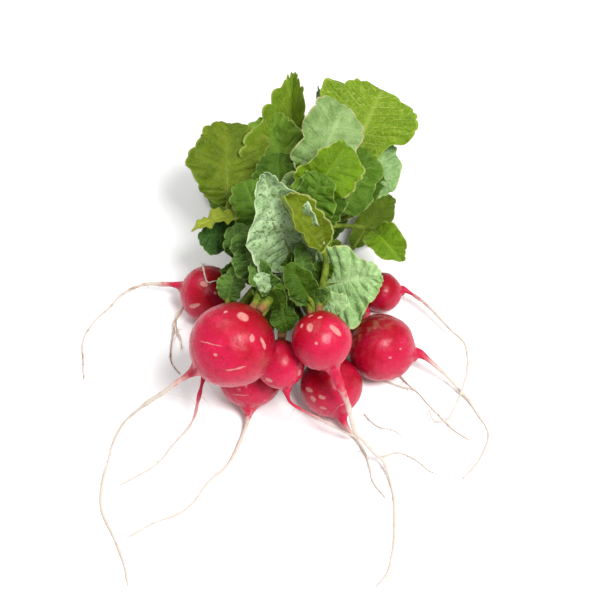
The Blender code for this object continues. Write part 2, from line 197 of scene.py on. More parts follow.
class Skin:
    """Closed shells gathered for one mesh, with the numbers that its finish reads at each point."""

    def __init__(self) -> None:
        """Start with no points."""
        self.points: list[Array] = []
        self.quads: list[Array] = []
        self.fans: list[Array] = []
        self.marks: list[dict[str, Array]] = []
        self.count = 0

    def add_rings(self, rings: Array, marks: dict[str, Array]) -> None:
        """Add one tube-like closed shell: rings joined by quads, each end closed by a fan to its middle.

        Args:
            rings: points as (station, round, xyz), in millimetres, counter-clockwise seen from the end.
            marks: for each attribute an array as (station, round) or (station, round, 3).
        """
        stations, sides = rings.shape[:2]
        flat = rings.reshape(-1, 3)
        poles = np.stack([rings[0].mean(axis=0), rings[-1].mean(axis=0)])
        self.points.append(np.vstack([flat, poles]))
        index = np.arange(stations * sides).reshape(stations, sides) + self.count
        following = np.roll(index, -1, axis=1)
        self.quads.append(
            np.stack([index[:-1], following[:-1], following[1:], index[1:]], axis=-1).reshape(-1, 4)
        )
        first = np.full(sides, self.count + stations * sides)
        self.fans.append(np.stack([first, following[0], index[0]], axis=-1))
        self.fans.append(np.stack([first + 1, index[-1], following[-1]], axis=-1))
        kept = {}
        for name, values in marks.items():
            flat_values = values.reshape(stations * sides, -1)
            ends = np.stack([values[0].reshape(sides, -1).mean(0), values[-1].reshape(sides, -1).mean(0)])
            kept[name] = np.vstack([flat_values, ends])
        self.marks.append(kept)
        self.count += stations * sides + 2

    def make(self, name: str) -> bpy.types.Object:
        """Put the shells into one mesh object at the origin.

        Args:
            name: the piece's name.

        Returns:
            The new object, smooth shaded, riding on the bunch.
        """
        points = to_frame(np.vstack(self.points))
        quads = np.vstack(self.quads)
        fans = np.vstack(self.fans)
        mesh = bpy.data.meshes.new(name)
        mesh.vertices.add(len(points))
        mesh.vertices.foreach_set("co", points.astype(np.float32).ravel())
        corners = np.concatenate([quads.ravel(), fans.ravel()]).astype(np.int32)
        starts = np.concatenate([np.arange(len(quads)) * 4, len(quads) * 4 + np.arange(len(fans)) * 3])
        mesh.loops.add(len(corners))
        mesh.loops.foreach_set("vertex_index", corners)
        mesh.polygons.add(len(starts))
        mesh.polygons.foreach_set("loop_start", starts.astype(np.int32))
        mesh.update(calc_edges=True)
        mesh.validate()
        for mark in self.marks[0]:
            values = np.vstack([kept[mark] for kept in self.marks]).astype(np.float32)
            kind = "FLOAT_VECTOR" if values.shape[1] == 3 else "FLOAT"
            layer = mesh.attributes.new(mark, kind, "POINT")
            layer.data.foreach_set("vector" if kind == "FLOAT_VECTOR" else "value", values.ravel())
        mesh.shade_smooth()
        item = bpy.data.objects.new(name, mesh)
        bpy.context.scene.collection.objects.link(item)
        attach(item, "root")
        return item


def tube_rings(path: Array, radii: Array, sides: int, turn_to: Array, groove: float = 0.0) -> Array:
    """Carry a circle along a path: path + radius times (side cos a + up sin a), grooved on its upper side.

    Args:
        path: the middle line, one point for each station.
        radii: the radius at each station.
        sides: points round each ring.
        turn_to: a vector that the first side is turned toward.
        groove: how deep the top is pressed in, as a share of the radius.

    Returns:
        The rings as (station, round, xyz).
    """
    ways = unit(np.gradient(path, axis=0))
    across = carried_sides(ways, len(path) - 1, turn_to)
    up = np.cross(across, ways)
    angle = around_turn(sides)
    pressed = 1 - groove * np.clip(np.sin(angle), 0, 1) ** 4
    ring = across[:, None] * np.cos(angle)[:, None] + up[:, None] * (np.sin(angle) * pressed)[:, None]
    return path[:, None] + ring[:, ::-1] * radii[:, None, None]


class Nodes:
    """A short way to lay out a material's nodes."""

    def __init__(self, name: str) -> None:
        """Start a material with its shader."""
        self.material = bpy.data.materials.new(name)
        self.material.use_nodes = True
        self.tree = self.material.node_tree
        self.shader = self.tree.nodes["Principled BSDF"]
        self.coordinates = self.tree.nodes.new("ShaderNodeTexCoord")

    def new(self, kind: str, **settings: object) -> bpy.types.Node:
        """Add a node and set its properties."""
        node = self.tree.nodes.new(kind)
        for key, value in settings.items():
            setattr(node, key, value)
        return node

    def put(self, target: bpy.types.NodeSocket, value: object) -> None:
        """Join a socket to another one, or set its own number or colour."""
        if isinstance(value, bpy.types.NodeSocket):
            self.tree.links.new(value, target)
        elif isinstance(value, tuple) and len(value) == 3 and target.type == "RGBA":
            target.default_value = (*value, 1.0)
        else:
            target.default_value = value

    def place(self) -> bpy.types.NodeSocket:
        """Return the object's own coordinates."""
        return self.coordinates.outputs["Object"]

    def mark(self, name: str, output: str = "Fac") -> bpy.types.NodeSocket:
        """Read one of the mesh's own marks."""
        return self.new("ShaderNodeAttribute", attribute_name=name).outputs[output]

    def noise(self, scale: float, detail: float = 3.0, output: str = "Fac") -> bpy.types.NodeSocket:
        """Return soft noise with the given number of cells to a metre."""
        node = self.new("ShaderNodeTexNoise")
        self.put(node.inputs["Vector"], self.place())
        node.inputs["Scale"].default_value = scale
        node.inputs["Detail"].default_value = detail
        return node.outputs[output]

    def cells(self, scale: float) -> bpy.types.NodeSocket:
        """Return the distance to the nearest wall of a net of random cells."""
        node = self.new("ShaderNodeTexVoronoi", feature="DISTANCE_TO_EDGE")
        self.put(node.inputs["Vector"], self.place())
        node.inputs["Scale"].default_value = scale
        return node.outputs["Distance"]

    def times(self, first: object, second: object) -> bpy.types.NodeSocket:
        """Multiply two numbers."""
        return self.math("MULTIPLY", first, second)

    def ramp(self, value: object, low: float, high: float, start: float = 0.0, end: float = 1.0) -> object:
        """Turn a value smoothly from start to end as it goes from low to high."""
        node = self.new("ShaderNodeMapRange", interpolation_type="SMOOTHSTEP")
        self.put(node.inputs["Value"], value)
        for key, number in (("From Min", low), ("From Max", high), ("To Min", start), ("To Max", end)):
            node.inputs[key].default_value = number
        return node.outputs["Result"]

    def math(self, operation: str, first: object, second: object = 0.0) -> bpy.types.NodeSocket:
        """Work out one number from two."""
        node = self.new("ShaderNodeMath", operation=operation)
        self.put(node.inputs[0], first)
        self.put(node.inputs[1], second)
        return node.outputs[0]

    def mix(self, share: object, first: object, second: object) -> bpy.types.NodeSocket:
        """Blend two colours."""
        node = self.new("ShaderNodeMix", data_type="RGBA")
        self.put(node.inputs[0], share)
        self.put(node.inputs[6], first)
        self.put(node.inputs[7], second)
        return node.outputs[2]

    def bump(self, height: object, distance: float, strength: float, normal: object = None) -> object:
        """Return a normal pushed about by a height."""
        node = self.new("ShaderNodeBump")
        self.put(node.inputs["Height"], height)
        node.inputs["Distance"].default_value = distance
        node.inputs["Strength"].default_value = strength
        if normal is not None:
            self.put(node.inputs["Normal"], normal)
        return node.outputs["Normal"]

    def parts(self, vector: object) -> bpy.types.bpy_prop_collection:
        """Split a vector into its three numbers."""
        node = self.new("ShaderNodeSeparateXYZ")
        self.put(node.inputs[0], vector)
        return node.outputs


# ---------------------------------------------------------------------------------------------- radishes


@dataclass(frozen=True)
class Scar:
    """A pale oval mark on a bulb: the way it faces from the bulb's middle, its half sizes and its turn."""

    way: Point
    long: float
    short: float
    turn: float = 0.0


@dataclass(frozen=True)
class RadishFinish:
    """The skin of one radish: crimson with darker shoulders (partly painted shade) and pinker toward the
    root (partly painted light), then a pale root.
    """

    skin: Colour = (0.33, 0.001, 0.012)
    dark: Colour = (0.14, 0.001, 0.002)
    pink: Colour = (0.50, 0.010, 0.055)
    scar: Colour = (0.52, 0.20, 0.18)
    pale: Colour = (0.56, 0.49, 0.42)
    earth: Colour = (0.30, 0.17, 0.09)
    gloss_roughness: float = 0.33
    brown: float = 0.25
    pale_from: float = 0.25
    dust: float = 0.0

    def make(self, name: str, middle: Array, radius: float, crown: Array, scars: tuple[Scar, ...]) -> object:
        """Make the material for one radish.

        Args:
            name: the material's name.
            middle: the bulb's middle, in metres.
            radius: the bulb's radius, in metres.
            crown: the way from the middle to the crown.
            scars: the pale marks on the bulb.

        Returns:
            The material.
        """
        n = Nodes(name)
        shift = n.new("ShaderNodeVectorMath", operation="SUBTRACT")
        n.put(shift.inputs[0], n.place())
        shift.inputs[1].default_value = tuple(middle)
        way = n.new("ShaderNodeVectorMath", operation="SCALE")
        n.put(way.inputs[0], shift.outputs[0])
        way.inputs["Scale"].default_value = 1 / radius
        toward = n.new("ShaderNodeVectorMath", operation="DOT_PRODUCT")
        n.put(toward.inputs[0], way.outputs[0])
        toward.inputs[1].default_value = tuple(crown)
        height = toward.outputs["Value"]
        broad = n.noise(70.0, 4.0)
        fine = n.noise(420.0, 5.0)
        flecks = n.noise(1500.0, 2.0)
        colour = n.mix(n.ramp(broad, 0.42, 0.66, 0.0, 0.75), self.skin, self.pink)
        # Pinker toward the root: partly the radish's own colour, partly painted light on the root side of
        # the bulb.
        colour = n.mix(n.ramp(height, -0.1, -0.8, 0.0, 0.8), colour, self.pink)
        # Darker at the shoulders toward the crown: partly the radish's own colour, partly painted shade on
        # the crown side of the bulb.
        shoulder_and_shade = n.math("ADD", height, n.times(n.math("SUBTRACT", broad, 0.5), 0.9))
        colour = n.mix(n.ramp(shoulder_and_shade, 0.0, 0.9, 0.0, 0.9), colour, self.dark)
        colour = n.mix(n.ramp(fine, 0.50, 0.70, 0.0, 0.30), colour, self.dark)
        colour = n.mix(n.ramp(flecks, 0.64, 0.76, 0.0, 0.22), colour, self.scar)
        rough_mark = n.ramp(fine, 0.3, 0.75, 0.0, 0.16)
        # Fine pale cracks, in a few patches only.
        crack = n.times(n.ramp(n.cells(260.0), 0.0, 0.035, 1.0, 0.0), n.ramp(broad, 0.56, 0.68))
        colour = n.mix(n.times(crack, 0.35), colour, self.scar)
        if self.dust:
            soiled = n.times(n.ramp(n.noise(240.0, 6.0), 0.48, 0.62), n.ramp(height, -0.1, 0.6))
            colour = n.mix(n.times(soiled, self.dust), colour, self.earth)
        # The marks' outlines waver, because they read a place that noise has pushed about.
        uneven = n.new("ShaderNodeVectorMath", operation="MULTIPLY_ADD")
        n.put(uneven.inputs[0], n.noise(500.0, 2.0, "Color"))
        uneven.inputs[1].default_value = (MARK_WAVER,) * 3
        n.put(uneven.inputs[2], way.outputs[0])
        marked: object = 0.0
        for scar in scars:
            facing = unit(np.array(scar.way, float))
            axis = unit(np.cross(facing, UP))
            axis = turned(axis, facing, scar.turn)
            turn = Matrix([axis, np.cross(facing, axis), facing]).transposed().to_euler()
            fit = n.new("ShaderNodeMapping", vector_type="TEXTURE")
            n.put(fit.inputs["Vector"], uneven.outputs[0])
            fit.inputs["Location"].default_value = tuple(facing + MARK_WAVER / 2)
            fit.inputs["Rotation"].default_value = turn
            fit.inputs["Scale"].default_value = (scar.long, scar.short, 0.4)
            reach = n.new("ShaderNodeVectorMath", operation="LENGTH")
            n.put(reach.inputs[0], fit.outputs[0])
            marked = n.math("MAXIMUM", n.ramp(reach.outputs["Value"], 0.8, 1.15, 1.0, 0.0), marked)
        healed = n.times(marked, n.ramp(fine, 0.25, 0.6, 0.65, 1.0)) if scars else 0.0
        colour = n.mix(healed, colour, self.scar)
        # The root: the pink of the bulb fades along it to a pale thread, with earth brown patches.
        reach_on = n.mark("root_reach")
        streak = n.noise(330.0, 6.0)
        drift = n.math("ADD", reach_on, n.times(n.math("SUBTRACT", streak, 0.5), 0.22))
        root = n.mix(n.ramp(streak, 0.5, 0.72, 0.0, self.brown), self.pale, self.earth)
        colour = n.mix(n.ramp(drift, self.pale_from * 0.25, self.pale_from, 0.0, 1.0), colour, root)
        n.put(n.shader.inputs["Base Color"], colour)
        bulb_roughness = n.math("ADD", rough_mark, self.gloss_roughness - 0.08)
        roughness = n.math("ADD", bulb_roughness, n.ramp(reach_on, 0.0, 0.1, 0.0, 0.3))
        n.put(n.shader.inputs["Roughness"], n.math("ADD", roughness, n.times(healed, 0.2)))
        n.shader.inputs["Specular IOR Level"].default_value = 0.22
        n.shader.inputs["Subsurface Weight"].default_value = 0.08
        n.shader.inputs["Subsurface Radius"].default_value = (0.9, 0.25, 0.2)
        n.shader.inputs["Subsurface Scale"].default_value = 0.002
        relief = n.math("ADD", n.times(fine, 0.5), n.times(healed, -0.5))
        normal = n.bump(relief, 0.0006, 0.5)
        n.put(n.shader.inputs["Normal"], n.bump(flecks, 0.0002, 0.4, normal))
        return n.material


@dataclass(frozen=True)
class Radish:
    """One radish: bulb middle, bulb radius, root radius at the bulb, crown aim, root route and marks.

    bulb_end is the share of the half turn where the ball gives way to the root. crowding is the power
    that brings the root's rings closer together near the bulb. neck_share is the share of the neck's
    radius that the root itself has there.
    """

    name: str
    centre: Point
    radius: float
    neck: float
    crown_aim: Point
    tail: tuple[Point, ...]
    scars: tuple[Scar, ...] = ()
    finish: RadishFinish = RadishFinish()
    around: int = 96
    bulb_rings: int = 110
    root_rings: int = 190
    bulb_end: float = 0.86
    root_end_radius: float = 0.46
    thinning: float = 5.0
    route_points: int = 600
    crowding: float = 1.35
    neck_share: float = 0.8

    def crown(self) -> Array:
        """Return the way from the bulb's middle to its crown."""
        return unit(np.array(self.crown_aim, float) - self.centre)

    def bulb_path(self) -> tuple[Array, Array, Array]:
        """Work out the bulb's rings on a ball whose axis swings from the crown to the root.

        The ring at angle a has its middle at centre + axis r cos a and its radius r sin a. The axis is
        the even turn from the crown to the way opposite the root, by the share (1 - cos a) / 2.

        Returns:
            The ring middles, the ring directions and the ring radii.
        """
        centre = np.array(self.centre, float)
        crown = self.crown()
        away = -unit(np.array(self.tail[0], float) - centre)
        angles = math.pi * np.linspace(0.012, self.bulb_end, self.bulb_rings)
        between = math.acos(float(np.clip(crown @ away, -1, 1)))
        share = ((1 - np.cos(angles)) / 2)[:, None]
        axes = (np.sin((1 - share) * between) * crown + np.sin(share * between) * away) / math.sin(between)
        middles = centre + axes * (self.radius * np.cos(angles))[:, None]
        return middles, -axes, self.radius * np.sin(angles)

    def surface(self) -> tuple[Array, Array]:
        """Sweep the skin from the crown to the root's end, with gentle lumps and root furrows.

        With n the share of the neck's radius, the root's radius is thread + (n - thread) e^(-thinning
        reach). The bulb runs out into it as (ring radius - n) e^(-distance / fall), with the slope of the
        ball where they meet.

        Returns:
            The rings as (station, round, xyz), and how far along the root each ring lies, 0 on the bulb.
        """
        middles, ways, radii = self.bulb_path()
        centre = np.array(self.centre, float)
        foot = unit(np.array(self.tail[0], float) - centre)
        start = centre - foot * self.radius * math.cos(math.pi * self.bulb_end)
        knots = np.vstack([start, centre + foot * self.radius, np.array(self.tail, float)])
        fine = smooth_route(knots, self.route_points)
        reach = np.linspace(0, 1, self.root_rings + 1)[1:] ** self.crowding
        route = resample(fine, reach)
        distance = reach * np.linalg.norm(np.diff(fine, axis=0), axis=1).sum()
        slope = -1 / math.tan(math.pi * self.bulb_end)
        ring = radii[-1]
        neck = self.neck * self.neck_share
        fall = (ring - neck) / slope
        thread = self.root_end_radius
        root = thread + (neck - thread) * np.exp(-self.thinning * reach)
        root = root + (ring - neck) * np.exp(-distance / fall)
        knobs = 1 + 0.16 * lumps(route, 9.0, ord(self.name) + 3) * smoothstep(0.01, 0.08, reach)
        root = root * knobs
        end = smoothstep(0.0, 0.02, 1 - reach)
        root = root * (0.35 + 0.65 * end)
        path = np.vstack([middles, route])
        ways = np.vstack([ways, unit(np.gradient(np.vstack([start, route]), axis=0))[1:]])
        across = carried_sides(ways, 0, np.array([0.3, 0.2, 1.0]))
        up = np.cross(ways, across)
        angle = around_turn(self.around)
        out = across[:, None] * np.cos(angle)[:, None] + up[:, None] * np.sin(angle)[:, None]
        all_radii = np.concatenate([radii, root])
        rings = path[:, None] + out * all_radii[:, None, None]
        along = np.concatenate([np.zeros(self.bulb_rings), reach])
        away = unit(rings - centre)
        seed = ord(self.name)
        swell = 0.016 * lumps(away * 10, 12.0, seed) + 0.004 * lumps(away * 10, 3.0, seed + 1)
        bulb_share = 1 - smoothstep(0.0, 0.03, along)
        rings = rings + away * (swell * self.radius * bulb_share[:, None])[..., None]
        crown_cos = away @ self.crown()
        dip = 0.05 * self.radius * smoothstep(0.90, 0.995, crown_cos) * bulb_share[:, None]
        rings = rings - self.crown() * dip[..., None]
        furrow = 0.10 * lumps(away * 3, 2.2, seed + 2)
        rings = rings + out * (furrow * (1 - bulb_share)[:, None] * all_radii[:, None])[..., None]
        rings[..., 2] = np.maximum(rings[..., 2], GROUND)
        return rings, along

    def build(self) -> bpy.types.Object:
        """Make the radish and give it its finish."""
        rings, along = self.surface()
        skin = Skin()
        skin.add_rings(rings, {"root_reach": np.repeat(along[:, None], self.around, axis=1)})
        self.add_hairs(skin)
        item = skin.make(f"radish_skin_{self.name}")
        middle = to_frame(np.array(self.centre, float))
        finish = self.finish.make(f"skin_{self.name}", middle, self.radius * MM, self.crown(), self.scars)
        item.data.materials.append(finish)
        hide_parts(f"radish_{self.name}")
        return item

    def add_hairs(self, skin: Skin) -> None:
        """Add fine side roots along the root: short wandering threads that fall toward the surface."""
        chance = np.random.default_rng(500 + ord(self.name))
        route = smooth_route(np.array(self.tail, float), HAIR_PLACES)
        for _ in range(8 + len(self.tail)):
            at = int(HAIR_PLACES * chance.uniform(0.02, 0.97) ** 1.5)
            length = chance.uniform(2, 8) * (1.3 - at / (1.3 * HAIR_PLACES))
            way = unit(chance.normal(size=3) * [1, 1, 0.4])
            steps = np.linspace(0, 1, 7)[:, None]
            path = route[at] + way * length * steps + chance.normal(size=3) * length * 0.3 * steps**2
            path = path - UP * length * 0.4 * steps**2
            path[:, 2] = np.maximum(path[:, 2], GROUND + 0.3)
            radii = chance.uniform(0.08, 0.15) * (1.15 - steps[:, 0])
            rings = tube_rings(path, radii, 5, np.array([0.3, 0.5, 1.0]))
            skin.add_rings(rings, {"root_reach": np.full(rings.shape[:2], HAIR_TINT)})


@dataclass(frozen=True)
class RootThread:
    """A long side root: its route, its radius at the start and how brown it is from 0 to 1."""

    name: str
    route: tuple[Point, ...]
    radius: float
    brown: float
    stations: int = 70

    def build(self) -> bpy.types.Object:
        """Make the thread, thinning toward its end and slightly knobbly, with a few hairs."""
        path = smooth_route(np.array(self.route, float), self.stations)
        t = np.linspace(0, 1, self.stations)
        radii = self.radius * (1 - 0.72 * t) * (1 + 0.2 * lumps(path, 4.0, 77))
        path[:, 2] = np.maximum(path[:, 2], GROUND + radii)
        rings = tube_rings(path, radii, 8, np.array([0.2, 0.3, 1.0]))
        skin = Skin()
        skin.add_rings(rings, {"root_reach": np.full(rings.shape[:2], HAIR_TINT)})
        chance = np.random.default_rng(len(self.route) + int(self.radius * 100))
        for _ in range(9):
            at = int(chance.uniform(3, 66))
            steps = np.linspace(0, 1, 6)[:, None]
            way = unit(chance.normal(size=3) * [1, 1, 0.3])
            hair = path[at] + way * chance.uniform(2, 5) * steps
            hair[:, 2] = np.maximum(hair[:, 2], GROUND + 0.2)
            shell = tube_rings(hair, 0.13 * (1.1 - steps[:, 0]), 5, np.array([0.3, 0.5, 1.0]))
            skin.add_rings(shell, {"root_reach": np.full(shell.shape[:2], HAIR_TINT)})
        item = skin.make(f"root_thread_{self.name}")
        item.data.materials.append(self.finish())
        return item

    def finish(self) -> bpy.types.Material:
        """Pale root skin with earth brown patches along it."""
        n = Nodes(f"thread_{self.name}")
        streak = n.noise(300.0, 5.0)
        colour = n.mix(n.ramp(streak, 0.35, 0.65, 0.0, 1.0), (0.60, 0.46, 0.36), (0.26, 0.15, 0.08))
        colour = n.mix(1 - self.brown, colour, (0.55, 0.48, 0.41))
        n.put(n.shader.inputs["Base Color"], colour)
        n.put(n.shader.inputs["Roughness"], n.ramp(streak, 0.3, 0.7, 0.5, 0.8))
        n.put(n.shader.inputs["Normal"], n.bump(n.noise(1800.0), 0.0002, 0.6))
        return n.material


# ------------------------------------------------------------------------------------------------ leaves


@dataclass(frozen=True)
class LeafFinish:
    """The look of a leaf: its colours, how strongly the veins show and how patchy it is."""

    base: Colour
    patch_and_shade: Colour
    vein: Colour
    margin: Colour
    under: Colour
    vein_share: float = 0.5
    speckle: float = 0.0
    patchy: float = 0.6

    def make(self, name: str) -> bpy.types.Material:
        """Make the material: patches, painted shade toward each leaf's foot, side veins to the scallops, a
        fine net, a pale margin, a pale back.
        """
        n = Nodes(name)
        spot = n.parts(n.mark("leaf_place", "Vector"))
        across = n.math("ABSOLUTE", spot[0])
        broad = n.noise(95.0, 3.0)
        fine = n.noise(900.0, 4.0)
        colour = n.mix(n.ramp(broad, 0.42, 0.58, 0.0, self.patchy), self.base, self.patch_and_shade)
        colour = n.mix(n.ramp(fine, 0.35, 0.75, 0.0, 0.30), colour, self.patch_and_shade)
        # Painted shade: the leaf turns toward the darker patch colour near its foot, where the leaves above
        # it would shade it.
        colour = n.mix(n.ramp(spot[1], 0.0, 0.5, 0.7, 0.0), colour, self.patch_and_shade)
        # Side veins: thin lines from the midrib to the crown of each scallop, wavering a little.
        drift = n.times(n.math("SUBTRACT", n.noise(160.0, 2.0), 0.5), 0.5)
        turn = n.math("FRACT", n.math("ADD", spot[2], drift))
        off = n.math("ABSOLUTE", n.math("SUBTRACT", turn, 0.5))
        fading = n.ramp(across, 0.98, 0.35, 0.15, 1.0)
        side_vein = n.times(n.ramp(off, 0.02, 0.085, 1.0, 0.0), fading)
        net = n.times(n.ramp(n.cells(330.0), 0.015, 0.10, 1.0, 0.0), 0.55)
        small_net = n.times(n.ramp(n.cells(900.0), 0.02, 0.14, 1.0, 0.0), 0.25)
        midrib = n.mark("midrib")
        veins = n.math("MAXIMUM", n.math("MAXIMUM", side_vein, midrib), n.math("MAXIMUM", net, small_net))
        colour = n.mix(n.times(veins, self.vein_share), colour, self.vein)
        if self.speckle:
            specks = n.ramp(n.noise(620.0, 2.0), 0.56, 0.63, 0.0, self.speckle)
            colour = n.mix(specks, colour, self.patch_and_shade)
        edge = n.times(n.ramp(across, 0.93, 0.995), 0.75)
        colour = n.mix(edge, colour, self.margin)
        back = n.mix(n.times(veins, 0.5), self.under, self.vein)
        colour = n.mix(n.mark("underside"), colour, back)
        stalk = n.mix(n.ramp(n.noise(260.0, 4.0), 0.35, 0.65), (0.17, 0.23, 0.02), (0.09, 0.13, 0.012))
        blush = n.ramp(n.mark("stalk_reach"), 0.01, 0.09, 0.6, 0.0)
        stalk = n.mix(blush, stalk, (0.30, 0.07, 0.06))
        colour = n.mix(n.mark("stalk"), colour, stalk)
        n.put(n.shader.inputs["Base Color"], colour)
        n.put(n.shader.inputs["Roughness"], n.ramp(fine, 0.3, 0.7, 0.42, 0.62))
        n.shader.inputs["Specular IOR Level"].default_value = 0.15
        n.shader.inputs["Subsurface Weight"].default_value = 0.2
        n.shader.inputs["Subsurface Radius"].default_value = (0.6, 0.9, 0.15)
        n.shader.inputs["Subsurface Scale"].default_value = 0.0012
        relief = n.math("ADD", n.times(veins, -0.7), n.times(n.noise(420.0, 4.0), 0.9))
        normal = n.bump(relief, 0.0007, 0.8)
        n.put(n.shader.inputs["Normal"], n.bump(fine, 0.0003, 0.5, normal))
        return n.material


class Tone(Enum):
    """The kinds of leaf colour in the bunch."""

    OLIVE = LeafFinish(
        base=(0.118, 0.167, 0.005), patch_and_shade=(0.062, 0.108, 0.002), vein=(0.172, 0.218, 0.025),
        margin=(0.206, 0.232, 0.040), under=(0.179, 0.239, 0.043),
        vein_share=0.35, speckle=0.35, patchy=0.7,
    )
    DARK_OLIVE = LeafFinish(
        base=(0.080, 0.131, 0.002), patch_and_shade=(0.050, 0.092, 0.001), vein=(0.138, 0.183, 0.018),
        margin=(0.179, 0.211, 0.033), under=(0.151, 0.211, 0.036),
        vein_share=0.35, speckle=0.2,
    )
    JADE = LeafFinish(
        base=(0.124, 0.229, 0.014), patch_and_shade=(0.062, 0.138, 0.003), vein=(0.234, 0.338, 0.072),
        margin=(0.275, 0.352, 0.079), under=(0.206, 0.296, 0.064),
        vein_share=0.35,
    )
    FOLDED = LeafFinish(
        base=(0.118, 0.203, 0.005), patch_and_shade=(0.075, 0.138, 0.002), vein=(0.234, 0.296, 0.043),
        margin=(0.275, 0.324, 0.072), under=(0.193, 0.268, 0.043),
        vein_share=0.5,
    )
    FAN = LeafFinish(
        base=(0.124, 0.216, 0.003), patch_and_shade=(0.086, 0.164, 0.001), vein=(0.310, 0.394, 0.064),
        margin=(0.234, 0.310, 0.036), under=(0.234, 0.338, 0.064),
        vein_share=0.85, speckle=0.0, patchy=0.5,
    )
    MINT = LeafFinish(
        base=(0.270, 0.420, 0.170), patch_and_shade=(0.100, 0.220, 0.040), vein=(0.420, 0.560, 0.280),
        margin=(0.420, 0.460, 0.160), under=(0.260, 0.380, 0.160),
        vein_share=0.8, speckle=0.2, patchy=0.5,
    )
    PALE = LeafFinish(
        base=(0.230, 0.340, 0.120), patch_and_shade=(0.080, 0.170, 0.020), vein=(0.360, 0.460, 0.220),
        margin=(0.480, 0.380, 0.220), under=(0.260, 0.360, 0.160),
        vein_share=0.5, speckle=0.25, patchy=0.6,
    )
    BRIGHT = LeafFinish(
        base=(0.105, 0.203, 0.001), patch_and_shade=(0.075, 0.151, 0.003), vein=(0.206, 0.310, 0.021),
        margin=(0.358, 0.366, 0.107), under=(0.179, 0.282, 0.029),
        vein_share=0.6,
    )
    DARK = LeafFinish(
        base=(0.043, 0.099, 0.002), patch_and_shade=(0.022, 0.056, 0.001), vein=(0.096, 0.169, 0.018),
        margin=(0.179, 0.239, 0.050), under=(0.103, 0.169, 0.029),
        vein_share=0.5, speckle=0.15,
    )
    # Pale whitish green: partly the pale underside's own colour, partly painted glare on the curled-over
    # blade.
    SPECKLED = LeafFinish(
        base=(0.360, 0.500, 0.270), patch_and_shade=(0.070, 0.140, 0.020), vein=(0.460, 0.600, 0.360),
        margin=(0.500, 0.580, 0.380), under=(0.300, 0.420, 0.220),
        vein_share=0.5, speckle=0.75, patchy=0.45,
    )
    FLAP = LeafFinish(
        base=(0.136, 0.190, 0.004), patch_and_shade=(0.093, 0.131, 0.002), vein=(0.220, 0.268, 0.036),
        margin=(0.358, 0.366, 0.122), under=(0.193, 0.253, 0.043),
        vein_share=0.4,
    )
    NARROW = LeafFinish(
        base=(0.220, 0.268, 0.018), patch_and_shade=(0.151, 0.204, 0.011), vein=(0.303, 0.324, 0.054),
        margin=(0.316, 0.225, 0.050), under=(0.248, 0.296, 0.050),
        vein_share=0.4,
    )
    TEAL = LeafFinish(
        base=(0.041, 0.120, 0.019), patch_and_shade=(0.024, 0.070, 0.009), vein=(0.110, 0.211, 0.050),
        margin=(0.179, 0.253, 0.072), under=(0.110, 0.183, 0.043),
        vein_share=0.5,
    )
    MEDIUM = LeafFinish(
        base=(0.075, 0.164, 0.006), patch_and_shade=(0.043, 0.105, 0.002), vein=(0.165, 0.268, 0.050),
        margin=(0.234, 0.296, 0.079), under=(0.165, 0.239, 0.050),
        vein_share=0.5,
    )
    YOUNG = LeafFinish(
        base=(0.083, 0.169, 0.025), patch_and_shade=(0.028, 0.077, 0.007), vein=(0.179, 0.282, 0.064),
        margin=(0.261, 0.324, 0.086), under=(0.151, 0.225, 0.050),
        vein_share=0.5, speckle=0.15, patchy=0.8,
    )


